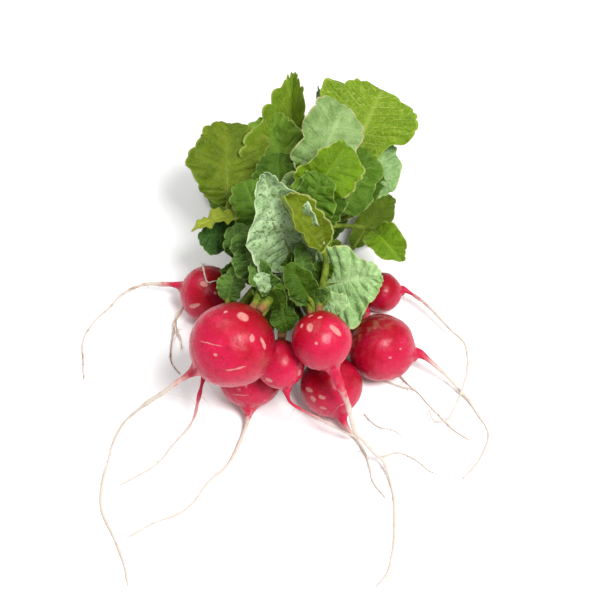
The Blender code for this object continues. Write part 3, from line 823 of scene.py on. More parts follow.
@dataclass(frozen=True)
class Blade:
    """The flat part of a leaf in its own plane, and the way that it is bent.

    width is the full width and length the way from foot to tip. widest moves the broadest place toward
    the tip, teeth is the number of scallops on a side, ruffle and cup lift the margin, fold closes it
    about the midrib, curl rolls the outer margin and point narrows the tip. waves is the number of
    ruffles, uneven the size of the outline's slow waves, twist the most degrees that the blade turns
    about its midrib from foot to tip, and sway the most that its tip bends sideways as a share of length.
    """

    width: float
    teeth: int = 9
    tooth_depth: float = 0.055
    widest: float = 0.55
    ruffle: float = 1.6
    cup: float = 0.12
    fold: float = 0.0
    curl: float = 0.0
    waves: float = 2.6
    point: float = 0.15
    uneven: float = 0.12
    twist: float = 26.0
    sway: float = 0.10
    rows: int = 110
    half_columns: int = 20

    def flat(self, length: float, seed: int) -> tuple[Array, Array, Array, Array]:
        """Lay the blade out flat with scalloped margins.

        With t = y/L and lean twice widest, the margin is y = L (1 - cos a) / 2 and
        x = W/2 sin(a)^0.75 (lean t + (2 - lean) (1 - t)) (1 - point t^3) for a from 0 to pi. Slow waves
        make it uneven, and each scallop draws it in toward the middle by 1 - d (1 - |sin(pi q)|^0.6).
        Each row runs from the midrib at s^1.3 of the length out to the margin at a = pi s, as the side
        veins do.

        Args:
            length: from foot to tip.
            seed: for the scallops' uneven spacing.

        Returns:
            x, y, the signed share across and the scallop count, each as (row, column).
        """
        chance = np.random.default_rng(seed)
        s = np.linspace(0.0, 1.0, self.rows)
        columns = np.linspace(-1, 1, 2 * self.half_columns + 1)
        x_edge = np.zeros((self.rows, 2))
        y_edge = np.zeros((self.rows, 2))
        q_edge = np.zeros((self.rows, 2))
        for side in range(2):
            drift = np.sin(2 * math.pi * s * chance.uniform(1.4, 2.6) + chance.uniform(0, 6))
            q = self.teeth * s + 0.22 * drift
            notch = 1 - np.abs(np.sin(math.pi * q)) ** 0.6
            deep = self.tooth_depth * (1 + 0.5 * np.sin(q * 2.1 + chance.uniform(0, 6)))
            draw = 1 - deep * notch * smoothstep(0.04, 0.2, s)
            angle = math.pi * s
            y = (1 - np.cos(angle)) / 2
            lean = 2 * self.widest
            outline = np.sin(angle) ** 0.75 * ((2 - lean) * (1 - y) + lean * y)
            outline *= 1 - self.point * y**3
            uneven = 1 + self.uneven * np.sin(2 * math.pi * s * 1.6 + chance.uniform(0, 6))
            uneven += 0.6 * self.uneven * np.sin(2 * math.pi * s * 3.7 + chance.uniform(0, 6))
            x_edge[:, side] = outline * self.width / 2 * uneven * draw
            y_edge[:, side] = (0.5 + (y - 0.5) * draw) * length
            q_edge[:, side] = q
        left = columns < 0
        share = np.abs(columns)
        rib_y = s[:, None] ** 1.3 * length
        edge_x = np.where(left, x_edge[:, :1], x_edge[:, 1:])
        edge_y = np.where(left, y_edge[:, :1], y_edge[:, 1:])
        x = np.sign(columns) * share * edge_x
        y = rib_y + share**1.15 * (edge_y - rib_y)
        q = np.where(left, q_edge[:, :1], q_edge[:, 1:])
        return x, y, np.broadcast_to(columns, x.shape), q

    def height(self, x: Array, y: Array, columns: Array, q: Array, length: float, seed: int) -> Array:
        """Lift the flat blade: cup + fold + curl + ruffles + pillows between the side veins + lumps.

        Args:
            x, y: places on the flat blade.
            columns: the signed share across.
            q: the scallop count.
            length: from foot to tip.
            seed: for the ruffles.

        Returns:
            The height of each place above the flat blade.
        """
        chance = np.random.default_rng(seed + 50)
        share = np.abs(columns)
        half = self.width / 2
        t = np.clip(y / length, 0, 1)
        lift = self.cup * half * (np.abs(x) / half) ** 1.6 + self.fold * np.abs(x)
        lift += self.curl * half * np.clip((share - 0.55) / 0.45, 0, 1) ** 2
        side = np.where(columns < 0, 0.0, 1.7)
        start = chance.uniform(0, 6)
        waves = np.sin(2 * math.pi * self.waves * t + side + start)
        waves += 0.55 * np.sin(2 * math.pi * self.waves * 2.3 * t + 2 * side + 2 * start)
        lift += self.ruffle * share**2.2 * waves * np.sin(math.pi * np.clip(t * 0.9 + 0.08, 0, 1))
        pillow = np.abs(np.sin(math.pi * (q - 0.5))) ** 0.7
        lift += 0.05 * half * (pillow - 0.5) * smoothstep(0.03, 0.3, share) * smoothstep(1.0, 0.75, share)
        places = np.stack([x, y, np.zeros_like(x)], axis=-1)
        lift += 0.35 * lumps(places, 7.0, seed + 9) * smoothstep(0.0, 0.3, share)
        return lift


@dataclass(frozen=True)
class Leaf:
    """One leaf: its radish, its place in the tie or None, the blade's two ends, its roll and bow.

    leaflets is the number of small blades along its stalk. Its midrib stands rib_sink below the blade and
    ends at rib_end of its length. A leaf that stands for a solid one replaces the solid of that name.
    """

    name: str
    radish: str
    slot: tuple[float, float] | None
    base: Point
    tip: Point
    roll: float
    bow: float
    tone: Tone
    blade: Blade
    leaflets: int = 4
    stands_for_solid: bool = True
    thickness: float = 0.42
    stalk_sides: int = 16
    groove: float = 0.35
    rib_stations: int = 40
    rib_end: float = 0.93
    rib_sink: float = 0.35

    def seed(self) -> int:
        """Return a number of the leaf's own."""
        return sum(ord(letter) * (index + 3) for index, letter in enumerate(self.name))

    def bend_line(self) -> tuple[Array, Array, Array]:
        """Return the midrib as a fine bent line, with the blade's side and face."""
        base = np.array(self.base, float)
        tip = np.array(self.tip, float)
        chord = unit(tip - base)
        face = turned(unit(SHOW - chord * (SHOW @ chord)), chord, self.roll)
        side = unit(np.cross(chord, face))
        middle = (base + tip) / 2 + face * self.bow * 2
        return bowed(base, middle, tip, BLADE_STATIONS), side, face

    def stalk_line(self, foot: Array, crown: Array, arrival: Array) -> Array:
        """Return the stalk's path from its foot on the crown, through the tie if it has a place there."""
        base = np.array(self.base, float)
        if self.slot is None:
            return curve_between(foot, crown, base, arrival, FREE_STALK_STATIONS)
        place = slot_place(self.slot)
        entry = place - AHEAD * TIE_HALF_LENGTH
        leaving = place + AHEAD * TIE_HALF_LENGTH * (TIE_LEAVING + TOP_ROW - self.slot[1])
        lower = curve_between(foot, crown, entry, AHEAD, HALF_STALK_STATIONS)
        upper = curve_between(leaving, AHEAD, base, arrival, HALF_STALK_STATIONS)
        return smooth_route(np.vstack([lower, upper]), TIED_STALK_STATIONS)

    def build(self, foot: Array, crown: Array) -> bpy.types.Object:
        """Make the leaf.

        Args:
            foot: where its stalk starts, on the crown.
            crown: the way that the crown faces.

        Returns:
            The finished leaf.
        """
        line, side, face = self.bend_line()
        skin = Skin()
        add_blade(skin, line, side, self.blade, self.seed(), self.thickness)
        stalk = self.stalk_line(foot, crown, unit(line[1] - line[0]))
        ribs = resample(line, np.linspace(0.02, self.rib_end, self.rib_stations)) - face * self.rib_sink
        path = np.vstack([stalk, ribs])
        reach = np.linspace(0, 1, len(path))
        along_rib = np.clip((np.arange(len(path)) - len(stalk)) / len(ribs), 0, 1)
        radii = STALK_FOOT_RADIUS + (STALK_TOP_RADIUS - STALK_FOOT_RADIUS) * smoothstep(0, 0.6, reach)
        narrow = min(1.0, 0.45 + self.blade.width / 40)
        radii = radii * narrow * (1 - 0.84 * along_rib**0.5) * (1 + 0.06 * lumps(path, 6.0, self.seed()))
        smooth = path.copy()
        smooth[1:-1] = (path[:-2] + path[1:-1] * 2 + path[2:]) / 4
        rings = tube_rings(smooth, radii, self.stalk_sides, -side, self.groove)
        zeros = np.zeros(rings.shape[:2])
        skin.add_rings(rings, {
            "leaf_place": np.zeros(rings.shape),
            "underside": zeros,
            "midrib": zeros,
            "stalk": zeros + 1,
            "stalk_reach": np.repeat(reach[:, None], self.stalk_sides, axis=1),
        })
        self.add_leaflets(skin, stalk)
        item = skin.make(f"foliage_{self.name}")
        item.data.materials.append(leaf_material(self.tone))
        if self.stands_for_solid:
            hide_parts(f"leaf_{self.name}")
        return item

    def add_leaflets(self, skin: Skin, stalk: Array) -> None:
        """Add small side leaflets along the stalk, each at a random place and side, as these leaves carry
        them.
        """
        chance = np.random.default_rng(self.seed() + 7)
        for number in range(self.leaflets):
            at = int(len(stalk) * chance.uniform(0.25, 0.95))
            length = chance.uniform(9, 17)
            sideways = chance.choice([-1.0, 1.0])
            outward = sideways * chance.uniform(0.5, 1.0)
            ahead = chance.uniform(-0.3, 0.7)
            way = unit(np.array([outward, ahead, chance.uniform(0.3, 0.9)]))
            start = stalk[at]
            end = start + way * length
            face = unit(SHOW - way * (SHOW @ way))
            line = bowed(start, (start + end) / 2 + face * 1.2, end, LEAFLET_STATIONS)
            width = length * chance.uniform(0.55, 0.8)
            small = Blade(width, 5, 0.07, 0.55, 0.7, 0.2, rows=34, half_columns=8)
            add_blade(skin, line, unit(np.cross(way, face)), small, self.seed() + number, 0.4)


def add_blade(skin: Skin, line: Array, side: Array, blade: Blade, seed: int, thickness: float) -> None:
    """Bend a flat blade along a line and close it as a thin shell.

    A place at (x, y, height) goes to line(y) + side x + normal height, and the two faces stand half the
    thickness off it along the surface's own normal, thinner at the margin.

    Args:
        skin: the mesh being gathered.
        line: the midrib, from foot to tip.
        side: the way across the blade.
        blade: its outline and bending.
        seed: for its random parts.
        thickness: between its two faces.
    """
    steps = np.linalg.norm(np.diff(line, axis=0), axis=1)
    reach = np.concatenate([[0], np.cumsum(steps)])
    length = reach[-1]
    x, y, columns, q = blade.flat(length, seed)
    lift = blade.height(x, y, columns, q, length, seed)
    ways = unit(np.gradient(line, axis=0))
    across = carried_sides(ways, len(line) // 2, side)
    normals = np.cross(across, ways)

    def along(values: Array) -> Array:
        """Read a path value at each place's y."""
        return np.stack([np.interp(y, reach, values[:, axis]) for axis in range(3)], axis=-1)

    chance = np.random.default_rng(seed + 900)
    turn = math.radians(blade.twist) * chance.uniform(-1, 1) * (y / length - 0.5)[..., None]
    x = x + blade.sway * chance.uniform(-1, 1) * length * (y / length) ** 2
    over = np.clip(y - length, 0, None)[..., None] * ways[-1] + np.clip(y, None, 0)[..., None] * ways[0]
    sideways = along(across) * np.cos(turn) + along(normals) * np.sin(turn)
    upward = along(normals) * np.cos(turn) - along(across) * np.sin(turn)
    surface = along(line) + over + sideways * x[..., None] + upward * lift[..., None]
    normal = unit(np.cross(np.gradient(surface, axis=1), np.gradient(surface, axis=0)))
    normal = np.where(np.abs(normal).sum(-1, keepdims=True) < 0.5, along(normals), normal)
    half = (thickness / 2 * (1 - 0.6 * np.abs(columns) ** 4))[..., None]
    top = surface + normal * half
    bottom = surface - normal * half
    rings = np.concatenate([top, bottom[:, ::-1]], axis=1)
    rings[..., 2] = np.maximum(rings[..., 2], GROUND)
    place = np.stack([columns, np.clip(y / length, 0, 1), q], axis=-1)
    rib = np.exp(-((x / (0.5 + 0.02 * blade.width)) ** 2)) * (1 - 0.6 * np.clip(y / length, 0, 1))
    zeros = np.zeros_like(x)
    skin.add_rings(rings, {
        "leaf_place": np.concatenate([place, place[:, ::-1]], axis=1),
        "underside": np.concatenate([zeros, zeros + 1], axis=1),
        "midrib": np.concatenate([rib, rib[:, ::-1]], axis=1),
        "stalk": np.concatenate([zeros, zeros], axis=1),
        "stalk_reach": np.concatenate([zeros + 1, zeros + 1], axis=1),
    })


def leaf_material(tone: Tone) -> bpy.types.Material:
    """Return the tone's material, making it the first time."""
    name = f"leaf_{tone.name.lower()}"
    return bpy.data.materials.get(name) or tone.value.make(name)


def slot_place(slot: tuple[float, float]) -> Array:
    """Return the middle of a stalk's place in the tie."""
    column, row = slot
    return TIE_CENTRE + np.array([column * SLOT_PITCH_X, 0.0, row * SLOT_PITCH_Z])


@dataclass(frozen=True)
class Foliage:
    """All the leaves, with their stalks' feet spread over the crowns."""

    radishes: tuple[Radish, ...]
    leaves: tuple[Leaf, ...]

    def feet(self) -> dict[str, Array]:
        """Place each stalk's foot on its crown's small ring, on the side that faces where it goes.

        Returns:
            The foot's place for each leaf's name.
        """
        feet = {}
        for radish in self.radishes:
            crown = radish.crown()
            top = np.array(radish.centre, float) + crown * (radish.radius + STALK_GAP)
            across = unit(np.cross(crown, UP))
            up = np.cross(across, crown)
            own = [leaf for leaf in self.leaves if leaf.radish == radish.name and leaf.stands_for_solid]
            goals = [slot_place(leaf.slot) if leaf.slot else np.array(leaf.base, float) for leaf in own]
            aims = np.array(goals) - top
            offsets = aims - aims.mean(axis=0)
            bearings = np.arctan2(offsets @ up, offsets @ across)
            order = np.argsort(bearings, kind="stable")
            turns = bearings[order] - 2 * math.pi * np.arange(len(own)) / len(own)
            start = math.atan2(np.sin(turns).sum(), np.cos(turns).sum())
            ring = STALK_RING_RADIUS * max(1.0, len(own) / 4)
            for index, leaf_index in enumerate(order):
                angle = start + 2 * math.pi * index / len(own)
                feet[own[leaf_index].name] = top + (across * math.cos(angle) + up * math.sin(angle)) * ring
            for leaf in self.leaves:
                if leaf.radish == radish.name and not leaf.stands_for_solid:
                    feet[leaf.name] = top
        return feet

    def build(self) -> list[bpy.types.Object]:
        """Make every leaf."""
        feet = self.feet()
        crowns = {radish.name: radish.crown() for radish in self.radishes}
        return [leaf.build(feet[leaf.name], crowns[leaf.radish]) for leaf in self.leaves]


@dataclass(frozen=True)
class TieBand:
    """The band round the stalks: a soft flat loop that follows the outermost stalks."""

    thickness: float = 1.4
    width: float = 5.0
    gap: float = 0.5
    corners: int = 28
    around: int = 168
    section: int = 20

    def build(self, leaves: tuple[Leaf, ...]) -> bpy.types.Object:
        """Carry a rounded flat section round the stalks.

        The section is |x|^4 + |z|^4 = 1 scaled to the band's half thickness and half width.

        Args:
            leaves: the leaves, whose stalks it holds.

        Returns:
            The band.
        """
        places = np.array([slot_place(leaf.slot) for leaf in leaves if leaf.slot])
        angle = around_turn(self.corners)
        out = np.stack([np.cos(angle), np.zeros(self.corners), np.sin(angle)], axis=1)
        score = (places - TIE_CENTRE) @ out.T + 0.01 * places[:, :1]
        core = places[score.argmax(axis=0)] + out * (STALK_FOOT_RADIUS + self.gap + self.thickness / 2)
        loop = smooth_route(np.vstack([core, core[:1]]), self.around + 1)[:-1]
        way = unit(np.roll(loop, -1, axis=0) - np.roll(loop, 1, axis=0))
        outward = np.cross(way, -AHEAD)
        turn = around_turn(self.section)
        thick = np.sign(np.cos(turn)) * np.abs(np.cos(turn)) ** 0.5 * self.thickness / 2
        wide = np.sign(np.sin(turn)) * np.abs(np.sin(turn)) ** 0.5 * self.width / 2
        rings = loop[:, None] + outward[:, None] * thick[:, None] + AHEAD * wide[:, None]
        mesh = bpy.data.meshes.new("tie_loop")
        index = np.arange(self.around * self.section).reshape(self.around, self.section)
        following = np.roll(index, -1, axis=0)
        ring_faces = [index, following, np.roll(following, -1, axis=1), np.roll(index, -1, axis=1)]
        faces = np.stack(ring_faces, axis=-1)
        mesh.from_pydata(to_frame(rings.reshape(-1, 3)).tolist(), [], faces.reshape(-1, 4).tolist())
        mesh.shade_smooth()
        item = bpy.data.objects.new("tie_loop", mesh)
        bpy.context.scene.collection.objects.link(item)
        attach(item, "root")
        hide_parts("tie_band")
        item.data.materials.append(self.finish())
        return item

    def finish(self) -> bpy.types.Material:
        """Matt tan rubber with worn, darker patches and a fine grain."""
        n = Nodes("band_rubber")
        worn = n.noise(400.0, 5.0)
        colour = n.mix(n.ramp(worn, 0.35, 0.7), (0.50, 0.31, 0.15), (0.36, 0.20, 0.09))
        n.put(n.shader.inputs["Base Color"], colour)
        n.put(n.shader.inputs["Roughness"], n.ramp(worn, 0.3, 0.7, 0.55, 0.75))
        n.put(n.shader.inputs["Normal"], n.bump(n.noise(1200.0), 0.0002, 0.5))
        return n.material


@dataclass(frozen=True)
class Studio:
    """A plain pale floor, soft light from above and the camera looking down on the bunch."""

    target: Point = (5.0, -19.5, 38.0)
    elevation: float = 55.0
    distance: float = 560.0
    lens: float = 66.0
    sensor: float = 36.0
    floor_half: float = 3.0
    sky_strength: float = 0.44

    def build(self) -> None:
        """Make the floor, the lights and the camera."""
        scene = bpy.context.scene
        scene.view_settings.view_transform = "Standard"
        half = self.floor_half
        mesh = bpy.data.meshes.new("floor")
        corners = [(-half, -half, 0), (half, -half, 0), (half, half, 0), (-half, half, 0)]
        mesh.from_pydata(corners, [], [(0, 1, 2, 3)])
        floor = bpy.data.objects.new("floor", mesh)
        scene.collection.objects.link(floor)
        n = Nodes("floor_white")
        n.shader.inputs["Base Color"].default_value = (0.90, 0.90, 0.90, 1.0)
        n.shader.inputs["Roughness"].default_value = 0.9
        mesh.materials.append(n.material)
        world = bpy.data.worlds.new("soft_white")
        world.use_nodes = True
        sky = world.node_tree.nodes["Background"]
        sky.inputs["Color"].default_value = (1.0, 1.0, 1.0, 1.0)
        sky.inputs["Strength"].default_value = self.sky_strength
        scene.world = world
        self.add_light("overhead", (0.30, -0.32, 0.80), 10.0, 0.30)
        self.add_light("side", (-0.30, 0.30, 0.85), 3.6, 0.5)
        self.add_camera(scene)

    def add_light(self, name: str, place: Point, power: float, size: float) -> None:
        """Add a soft square light that looks at the bunch."""
        lamp = bpy.data.lights.new(name, "AREA")
        lamp.energy = power
        lamp.size = size
        item = bpy.data.objects.new(name, lamp)
        item.location = place
        item.rotation_euler = (Vector((0, 0, 0.04)) - Vector(place)).to_track_quat("-Z", "Y").to_euler()
        bpy.context.scene.collection.objects.link(item)

    def add_camera(self, scene: bpy.types.Scene) -> None:
        """Look down on the bunch along its length."""
        tilt = math.radians(self.elevation)
        back = np.array([0.0, -math.cos(tilt), math.sin(tilt)])
        data = bpy.data.cameras.new("view")
        data.lens = self.lens
        data.sensor_width = self.sensor
        data.clip_start = 0.01
        camera = bpy.data.objects.new("view", data)
        camera.location = to_frame(np.array(self.target) + back * self.distance)
        camera.rotation_euler = Vector(tuple(-back)).to_track_quat("-Z", "Y").to_euler()
        scene.collection.objects.link(camera)
        scene.camera = camera


# ------------------------------------------------------------------------------------------------- plans

SCARS_A = (
    Scar((-0.08, -0.25, 0.96), 0.14, 0.11),
    Scar((-0.43, -0.79, 0.43), 0.24, 0.08, 40),
    Scar((0.3, -0.5, 0.8), 0.06, 0.05),
)
SCARS_C = (
    Scar((0.29, 0.15, 0.94), 0.15, 0.12, 20), Scar((-0.10, 0.28, 0.96), 0.06, 0.04, 10),
    Scar((0.50, -0.33, 0.80), 0.09, 0.06, 40), Scar((0.75, -0.32, 0.57), 0.16, 0.055, 70),
    Scar((0.14, -0.90, 0.41), 0.24, 0.022, 5), Scar((-0.32, -0.68, 0.65), 0.05, 0.04),
    Scar((-0.45, -0.45, 0.77), 0.30, 0.014, 25),
)
SCARS_F = (
    Scar((-0.41, -0.05, 0.91), 0.16, 0.11),
    Scar((-0.37, 0.46, 0.81), 0.09, 0.07),
    Scar((-0.67, 0.11, 0.74), 0.08, 0.06),
    Scar((-0.08, 0.28, 0.96), 0.09, 0.06),
    Scar((0.44, -0.15, 0.88), 0.26, 0.10, 75),
    Scar((-0.2, -0.6, 0.77), 0.06, 0.05),
)
SCARS_G = (
    Scar((-0.72, -0.46, 0.52), 0.16, 0.07, 30),
    Scar((-0.59, -0.71, 0.39), 0.12, 0.09),
    Scar((-0.31, -0.75, 0.58), 0.12, 0.07),
    Scar((-0.27, -0.94, 0.21), 0.12, 0.06),
)
SCARS_E = (Scar((-0.43, -0.88, 0.21), 0.16, 0.10), Scar((0.81, -0.55, 0.21), 0.12, 0.16))
SCARS_H = (Scar((0.2, -0.75, 0.63), 0.05, 0.035), Scar((0.5, -0.5, 0.7), 0.04, 0.03))
SCARS_D = (Scar((-0.3, -0.89, 0.35), 0.28, 0.018, 15),)

RADISHES = (
    Radish("A", (-44, 0, 15.5), 15.3, 2.0, (-15, 8, 31), (
        (-62, 8, 13), (-69, 10, 11), (-81, 11, 9), (-92, 6, 7), (-98, -1, 5), (-106, -9, 3),
        (-111, -20, 1.5), (-110, -32, 1), (-108, -45, 1)), SCARS_A, RadishFinish(brown=0.9, pale_from=0.2)),
    Radish("B", (-38.5, -46, 36), 11.0, 2.0, (-12, 8, 34), (
        (-43, -57, 25), (-46, -66, 17), (-48, -72, 11), (-52, -77, 6), (-59, -84, 2.5),
        (-64, -91, 1.2), (-71, -97, 1), (-84, -105, 1)), (), RadishFinish(pale_from=0.5)),
    Radish("C", (-26.8, -63.1, 63.6), 20.1, 2.6, (8, -8, 66), (
        (-49, -70, 47), (-55, -72, 43), (-61, -74, 38), (-68, -76, 33), (-74, -78, 28), (-80, -80, 22),
        (-84, -83, 17), (-88, -88, 10), (-90, -95, 5), (-92, -104, 2), (-92, -115, 1), (-89, -123, 1),
        (-84, -132, 1), (-78, -145, 1), (-75, -156, 1)), SCARS_C, RadishFinish(pale_from=0.16)),
    Radish("D", (-19.9, -51.5, 16.2), 16.2, 1.6, (-6, 6, 28), (
        (-21, -69, 7), (-22, -73, 4.5), (-24, -78, 2.2), (-28, -88, 1.2), (-32, -95, 1), (-40, -103, 1),
        (-47, -114, 1), (-54, -120, 1), (-66, -125, 1), (-77, -132, 1)),
        SCARS_D, RadishFinish(pale_from=0.1)),
    Radish("E", (-4.7, -59.3, 40.6), 12.0, 2.0, (-2, 8, 38), (
        (0, -73, 28), (7, -75, 22), (14, -76, 17), (20, -78, 13), (26, -79, 9), (33, -81, 6)), SCARS_E,
        RadishFinish(pale_from=0.8)),
    Radish("F", (15.4, -57.2, 58), 14.2, 3.4, (6, 0, 54), (
        (25, -75, 42), (28, -78, 34), (30, -83, 27), (32, -87, 22), (37, -89, 15), (42, -92, 9),
        (46, -94, 6), (48, -98, 3.5), (50, -106, 1.5), (51, -115, 1), (50, -134, 1), (48, -143, 1),
        (46, -150, 1), (40, -157, 1)), SCARS_F, RadishFinish(pale_from=0.22, dark=(0.20, 0.002, 0.004))),
    Radish("G", (20.7, -56.9, 15.7), 15.7, 2.4, (5, 6, 28), (
        (28, -74, 6), (32, -78, 2.4), (35, -82, 1.4), (38, -89, 1), (40, -97, 1), (41, -103, 1),
        (47, -112, 1)), SCARS_G, RadishFinish(pale_from=0.3)),
    Radish("H", (46.8, -35.1, 17.6), 17.5, 2.6, (12, 8, 32), (
        (68, -38, 15), (76, -43, 11), (82, -47, 7), (88, -53, 3.5), (92, -57, 2), (96, -65, 1.2),
        (100, -73, 1), (100, -80, 1), (94, -92, 1), (85, -102, 1)), SCARS_H,
        RadishFinish(pale_from=0.2, dust=0.35)),
    Radish("I", (49.1, 4.6, 10.9), 10.9, 1.7, (14, 10, 28), (
        (62, 6, 11), (73, -2, 9), (86, -18, 7), (92, -27, 8), (92, -42, 9), (88, -55, 8), (84, -63, 5.5),
        (80, -70, 4), (73, -70, 3.6), (71, -63, 3.6)), (), RadishFinish(pale_from=0.2, brown=0.35)),
    Radish("J", (34, -8.6, 8.8), 8.8, 1.3, (8, 10, 26), (
        (34, -20, 4), (36, -32, 1.4), (41, -42, 1.1), (51, -46, 1), (58, -49, 1), (65, -51, 1),
        (71, -59, 1), (78, -68, 1), (83, -74, 1), (91, -80, 1)), (), RadishFinish(pale_from=0.1, brown=0.7)),
)

THREADS = (
    RootThread("front",
        ((42, -92, 8), (47, -91, 5), (54, -88, 3), (61, -90, 1.5), (65, -93, 1), (71, -98, 1), (81, -99, 1)),
        0.45, 0.2),
    RootThread("middle",
        ((38, -65, 1), (41, -69, 1), (46, -73, 1), (52, -74, 1), (58, -79, 1)), 0.4, 0.1),
    RootThread("left",
        ((-57, -2.7, 13), (-58, -5.1, 10), (-62, -10, 5), (-63, -18, 2.5), (-64, -26, 1.2), (-63, -34, 1),
         (-58, -41, 1)), 0.8, 0.8),
    RootThread("left_branch",
        ((-62, -11, 4.5), (-61, -15, 3), (-59, -20, 2), (-58, -26, 1.2)), 0.6, 0.8),
    RootThread("across_left",
        ((-47, 15, 19), (-47.1, 12.5, 25.4), (-46.0, 6.0, 30.3), (-43.4, -3.2, 31.2), (-38.5, -2.0, 30.4),
         (-31.5, -1.5, 25.4)), 0.7, 0.25),
    RootThread("right",
        ((56, -41, 2.2), (57, -42, 2.0), (60, -46, 1.5), (65, -51, 1)), 0.6, 0.8),
)

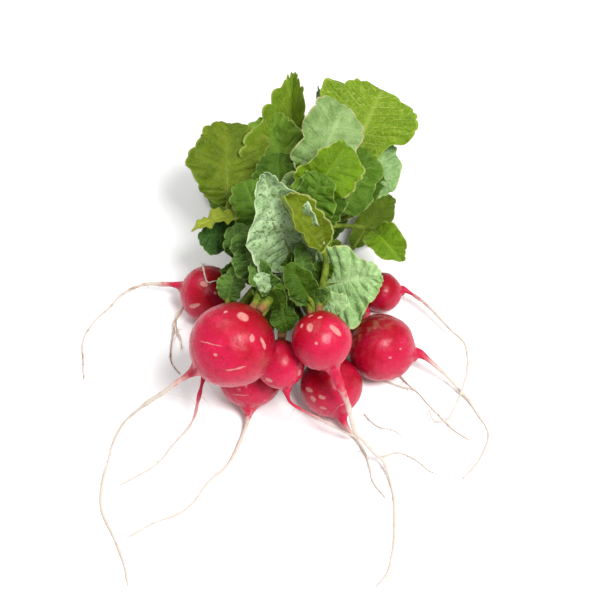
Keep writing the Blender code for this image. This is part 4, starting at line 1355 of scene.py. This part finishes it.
LEAVES = (
    Leaf("left_broad", "B", (-1.5, 1), (-33, 32, 50), (-36, 77, 67), 10, 3,
         Tone.OLIVE, Blade(40, 12, 0.05, 0.60, 2.2, 0.12, 0.10)),
    Leaf("left_behind", "B", (-2, 0), (-19, 40, 33), (-26, 85, 46), 0, 2,
         Tone.DARK_OLIVE, Blade(28, 10, 0.07, 0.5, 2.6, 0.15, 0.2)),
    Leaf("centre_jade", "D", (-1, 0), (-3, 46, 46), (-8, 88, 63), -10, 2,
         Tone.JADE, Blade(30, 10, 0.08, 0.5, 2.6, 0.25, 0.35)),
    Leaf("centre_tall", "D", (-0.5, -1), (1, 50, 32), (-1, 114, 68), -15, 2,
         Tone.FOLDED, Blade(34, 12, 0.09, 0.38, 3.4, 0.3, 1.1, point=0.6, sway=-0.05)),
    Leaf("centre_edge", "G", (1, 0), (12, 36, 38), (14, 97, 75), 80, 2,
         Tone.DARK, Blade(20, 10, 0.06, 0.5, 1.5, 0.15)),
    Leaf("right_fan", "H", (1, 1), (31, 50, 62), (50, 96, 72), -10, 3,
         Tone.FAN, Blade(52, 12, 0.05, 0.62, 2.8, 0.10, 0.12, point=0.2)),
    Leaf("right_mint", "H", (2, 0), (43, 38, 50), (53, 70, 60), 0, 2,
         Tone.MINT, Blade(22, 8, 0.05, 0.5, 1.0, 0.15)),
    Leaf("right_pale", "E", (0, 0), (10, 33, 69), (28, 72, 85), 10, 3,
         Tone.PALE, Blade(34, 10, 0.06, 0.5, 2.6, 0.10, 0.2)),
    Leaf("right_bright", "E", (0, 1), (9, 19, 73), (28, 39, 91), 15, 3,
         Tone.BRIGHT, Blade(28, 9, 0.06, 0.5, 2.0, 0.15, 0.3)),
    Leaf("right_dark", "H", (1.5, 2), (26, 23, 57), (42, 54, 69), 10, 2,
         Tone.MEDIUM, Blade(26, 9, 0.06, 0.5, 2.0, 0.15, 0.2)),
    Leaf("right_small", "H", (2, 1), (31, 32, 50), (47, 50, 57), 0, 1,
         Tone.DARK, Blade(17, 8, 0.06, 0.5, 1.0, 0.15)),
    Leaf("right_hanging", "I", (2.5, 2), (44, 20, 45), (57, 1, 42), 0, 7,
         Tone.BRIGHT, Blade(19, 8, 0.05, 0.45, 1.2, 0.15, 0.2, point=0.6)),
    Leaf("right_ovate", "J", None, (34, -4, 35), (38, -4, 51), 0, 1,
         Tone.TEAL, Blade(15, 7, 0.06, 0.5, 0.6, 0.15)),
    Leaf("front_drooping", "F", None, (14, -23, 55), (45, -23, 66), 10, 2,
         Tone.MINT, Blade(40, 11, 0.05, 0.42, 3.0, 0.10, 0.1, point=0.5)),
    Leaf("front_flap", "F", None, (15, -18, 80), (-5, -9, 104), 30, 0,
         Tone.FLAP, Blade(20, 8, 0.05, 0.5, 1.6, 0.15, 0.35, 0.4, point=0.5), 0),
    Leaf("front_speckled", "C", None, (2, -14, 62), (-14, 4, 108), 0, 4,
         Tone.SPECKLED, Blade(34, 11, 0.05, 0.38, 3.2, 0.15, 0.2, 0.2, point=0.4)),
    Leaf("front_middle", "F", (0.5, 2), (7, 11, 65), (17, 22, 87), 0, 2,
         Tone.MEDIUM, Blade(27, 8, 0.06, 0.5, 2.2, 0.15, 0.2)),
    Leaf("left_narrow", "B", (-1.5, 2), (-26, 15, 63), (-50, 4, 65), 55, 2,
         Tone.NARROW, Blade(14, 8, 0.05, 0.45, 1.4, 0.2, point=0.7)),
    Leaf("left_teal", "A", (-2.5, 1), (-28, 20, 43), (-47, 8, 56), 0, 2,
         Tone.TEAL, Blade(20, 8, 0.06, 0.5, 1.4, 0.15), 1),
    Leaf("young_pointed", "A", None, (-24, -8, 44), (-35, -10, 52), 0, 1,
         Tone.YOUNG, Blade(13, 6, 0.07, 0.45, 1.0, 0.2, point=0.7), 0),
    Leaf("young_upright", "C", None, (-17, -16, 62), (-22, -7, 78), 0, 1,
         Tone.YOUNG, Blade(17, 7, 0.07, 0.5, 0.9, 0.2)),
    Leaf("young_low", "B", None, (-31, -26, 47), (-27, -16, 62), 0, 1,
         Tone.YOUNG, Blade(14, 7, 0.07, 0.5, 1.2, 0.15), 0),
    Leaf("young_hanging", "C", None, (-4, -33, 56), (-1, -44, 46), 0, 1,
         Tone.DARK, Blade(13, 6, 0.06, 0.5, 0.6, 0.15)),
    Leaf("young_curled", "F", None, (8, -24, 63), (3, -14, 77), 20, 1,
         Tone.YOUNG, Blade(10, 6, 0.07, 0.5, 0.9, 0.3)),
    Leaf("fill_a", "C", None, (-14, -22, 58), (-24, -10, 72), 0, 2,
         Tone.YOUNG, Blade(17, 7, 0.08, 0.5, 1.4, 0.2), 1, False),
    Leaf("fill_b", "C", None, (-8, -20, 60), (-10, -2, 78), 10, 2,
         Tone.DARK, Blade(20, 7, 0.08, 0.5, 1.6, 0.2), 1, False),
    Leaf("fill_c", "F", None, (6, -26, 58), (18, -10, 72), 0, 2,
         Tone.DARK, Blade(20, 7, 0.08, 0.5, 1.6, 0.2), 1, False),
    Leaf("fill_d", "D", None, (-18, -10, 52), (-30, 6, 66), 0, 2,
         Tone.YOUNG, Blade(18, 7, 0.08, 0.5, 1.4, 0.2), 1, False),
    Leaf("fill_f", "C", None, (-8, -34, 62), (-16, -22, 76), 0, 1,
         Tone.YOUNG, Blade(13, 6, 0.08, 0.5, 1.2, 0.2, 0.3), 0, False),
    Leaf("fill_g", "F", None, (10, -36, 62), (0, -24, 76), 0, 1,
         Tone.DARK, Blade(14, 6, 0.08, 0.5, 1.2, 0.2, 0.3), 0, False),
    Leaf("fill_h", "G", None, (14, -20, 48), (28, -30, 48), 0, 2,
         Tone.DARK, Blade(18, 7, 0.08, 0.5, 1.4, 0.2), 1, False),
    Leaf("fill_i", "E", None, (2, -4, 68), (-5, 16, 84), -20, 2,
         Tone.DARK, Blade(26, 8, 0.08, 0.5, 2.0, 0.2, 0.2), 1, False),
    Leaf("fill_j", "E", None, (8, 2, 66), (17, 26, 80), 10, 2,
         Tone.DARK, Blade(26, 8, 0.08, 0.5, 2.0, 0.2, 0.2), 1, False),
    Leaf("fill_k", "D", None, (-12, 8, 58), (-24, 32, 70), 0, 2,
         Tone.MEDIUM, Blade(26, 8, 0.08, 0.5, 2.0, 0.2, 0.2), 1, False),
    Leaf("fill_l", "E", None, (-4, 22, 60), (-6, 50, 72), -10, 2,
         Tone.DARK, Blade(28, 8, 0.08, 0.5, 2.0, 0.2, 0.2), 0, False),
    Leaf("ground_left", "A", (-2.5, -1), (-26, 40, 12), (-45, 97, 8), 0, 2,
         Tone.MEDIUM, Blade(22, 11, 0.05, 0.55, 1.6, 0.1)),
    Leaf("ground_left_middle", "D", (-1.5, -1), (-11, 45, 18), (-24, 110, 16), 5, 2,
         Tone.DARK_OLIVE, Blade(24, 11, 0.05, 0.55, 1.6, 0.1)),
    Leaf("ground_middle", "G", (0.5, -1), (5, 50, 20), (4, 118, 18), 0, 2,
         Tone.MEDIUM, Blade(24, 11, 0.05, 0.55, 1.6, 0.1)),
    Leaf("ground_right_middle", "H", (1.5, -1), (21, 48, 19), (32, 108, 15), 0, 2,
         Tone.OLIVE, Blade(22, 11, 0.05, 0.55, 1.6, 0.1)),
    Leaf("ground_low_left", "D", (-1, -2), (-9, 42, 6), (-13, 98, 2), 0, 1,
         Tone.DARK, Blade(20, 10, 0.05, 0.55, 1.0, 0.05)),
    Leaf("ground_low_middle", "G", (0, -2), (7, 42, 6), (11, 104, 2), 0, 1,
         Tone.MEDIUM, Blade(18, 10, 0.05, 0.55, 1.0, 0.05)),
    Leaf("ground_low_right", "J", (1, -2), (19, 40, 6), (32, 94, 2), 0, 1,
         Tone.DARK, Blade(18, 10, 0.05, 0.55, 1.0, 0.05)),
    Leaf("ground_right", "J", (2.5, -1), (35, 34, 13), (57, 78, 7), 0, 1,
         Tone.DARK_OLIVE, Blade(18, 10, 0.05, 0.55, 1.2, 0.1)),
)


def main() -> None:
    """Build the bunch and the studio."""
    logging.basicConfig(level=logging.INFO, format="%(message)s")
    for radish in RADISHES:
        item = radish.build()
        logging.info("%s: %d points", item.name, len(item.data.vertices))
    for thread in THREADS:
        item = thread.build()
        logging.info("%s: %d points", item.name, len(item.data.vertices))
    for item in Foliage(RADISHES, LEAVES).build():
        logging.info("%s: %d points", item.name, len(item.data.vertices))
    band = TieBand().build(LEAVES)
    logging.info("%s: %d points", band.name, len(band.data.vertices))
    Studio().build()


if __name__ == "__main__":
    main()
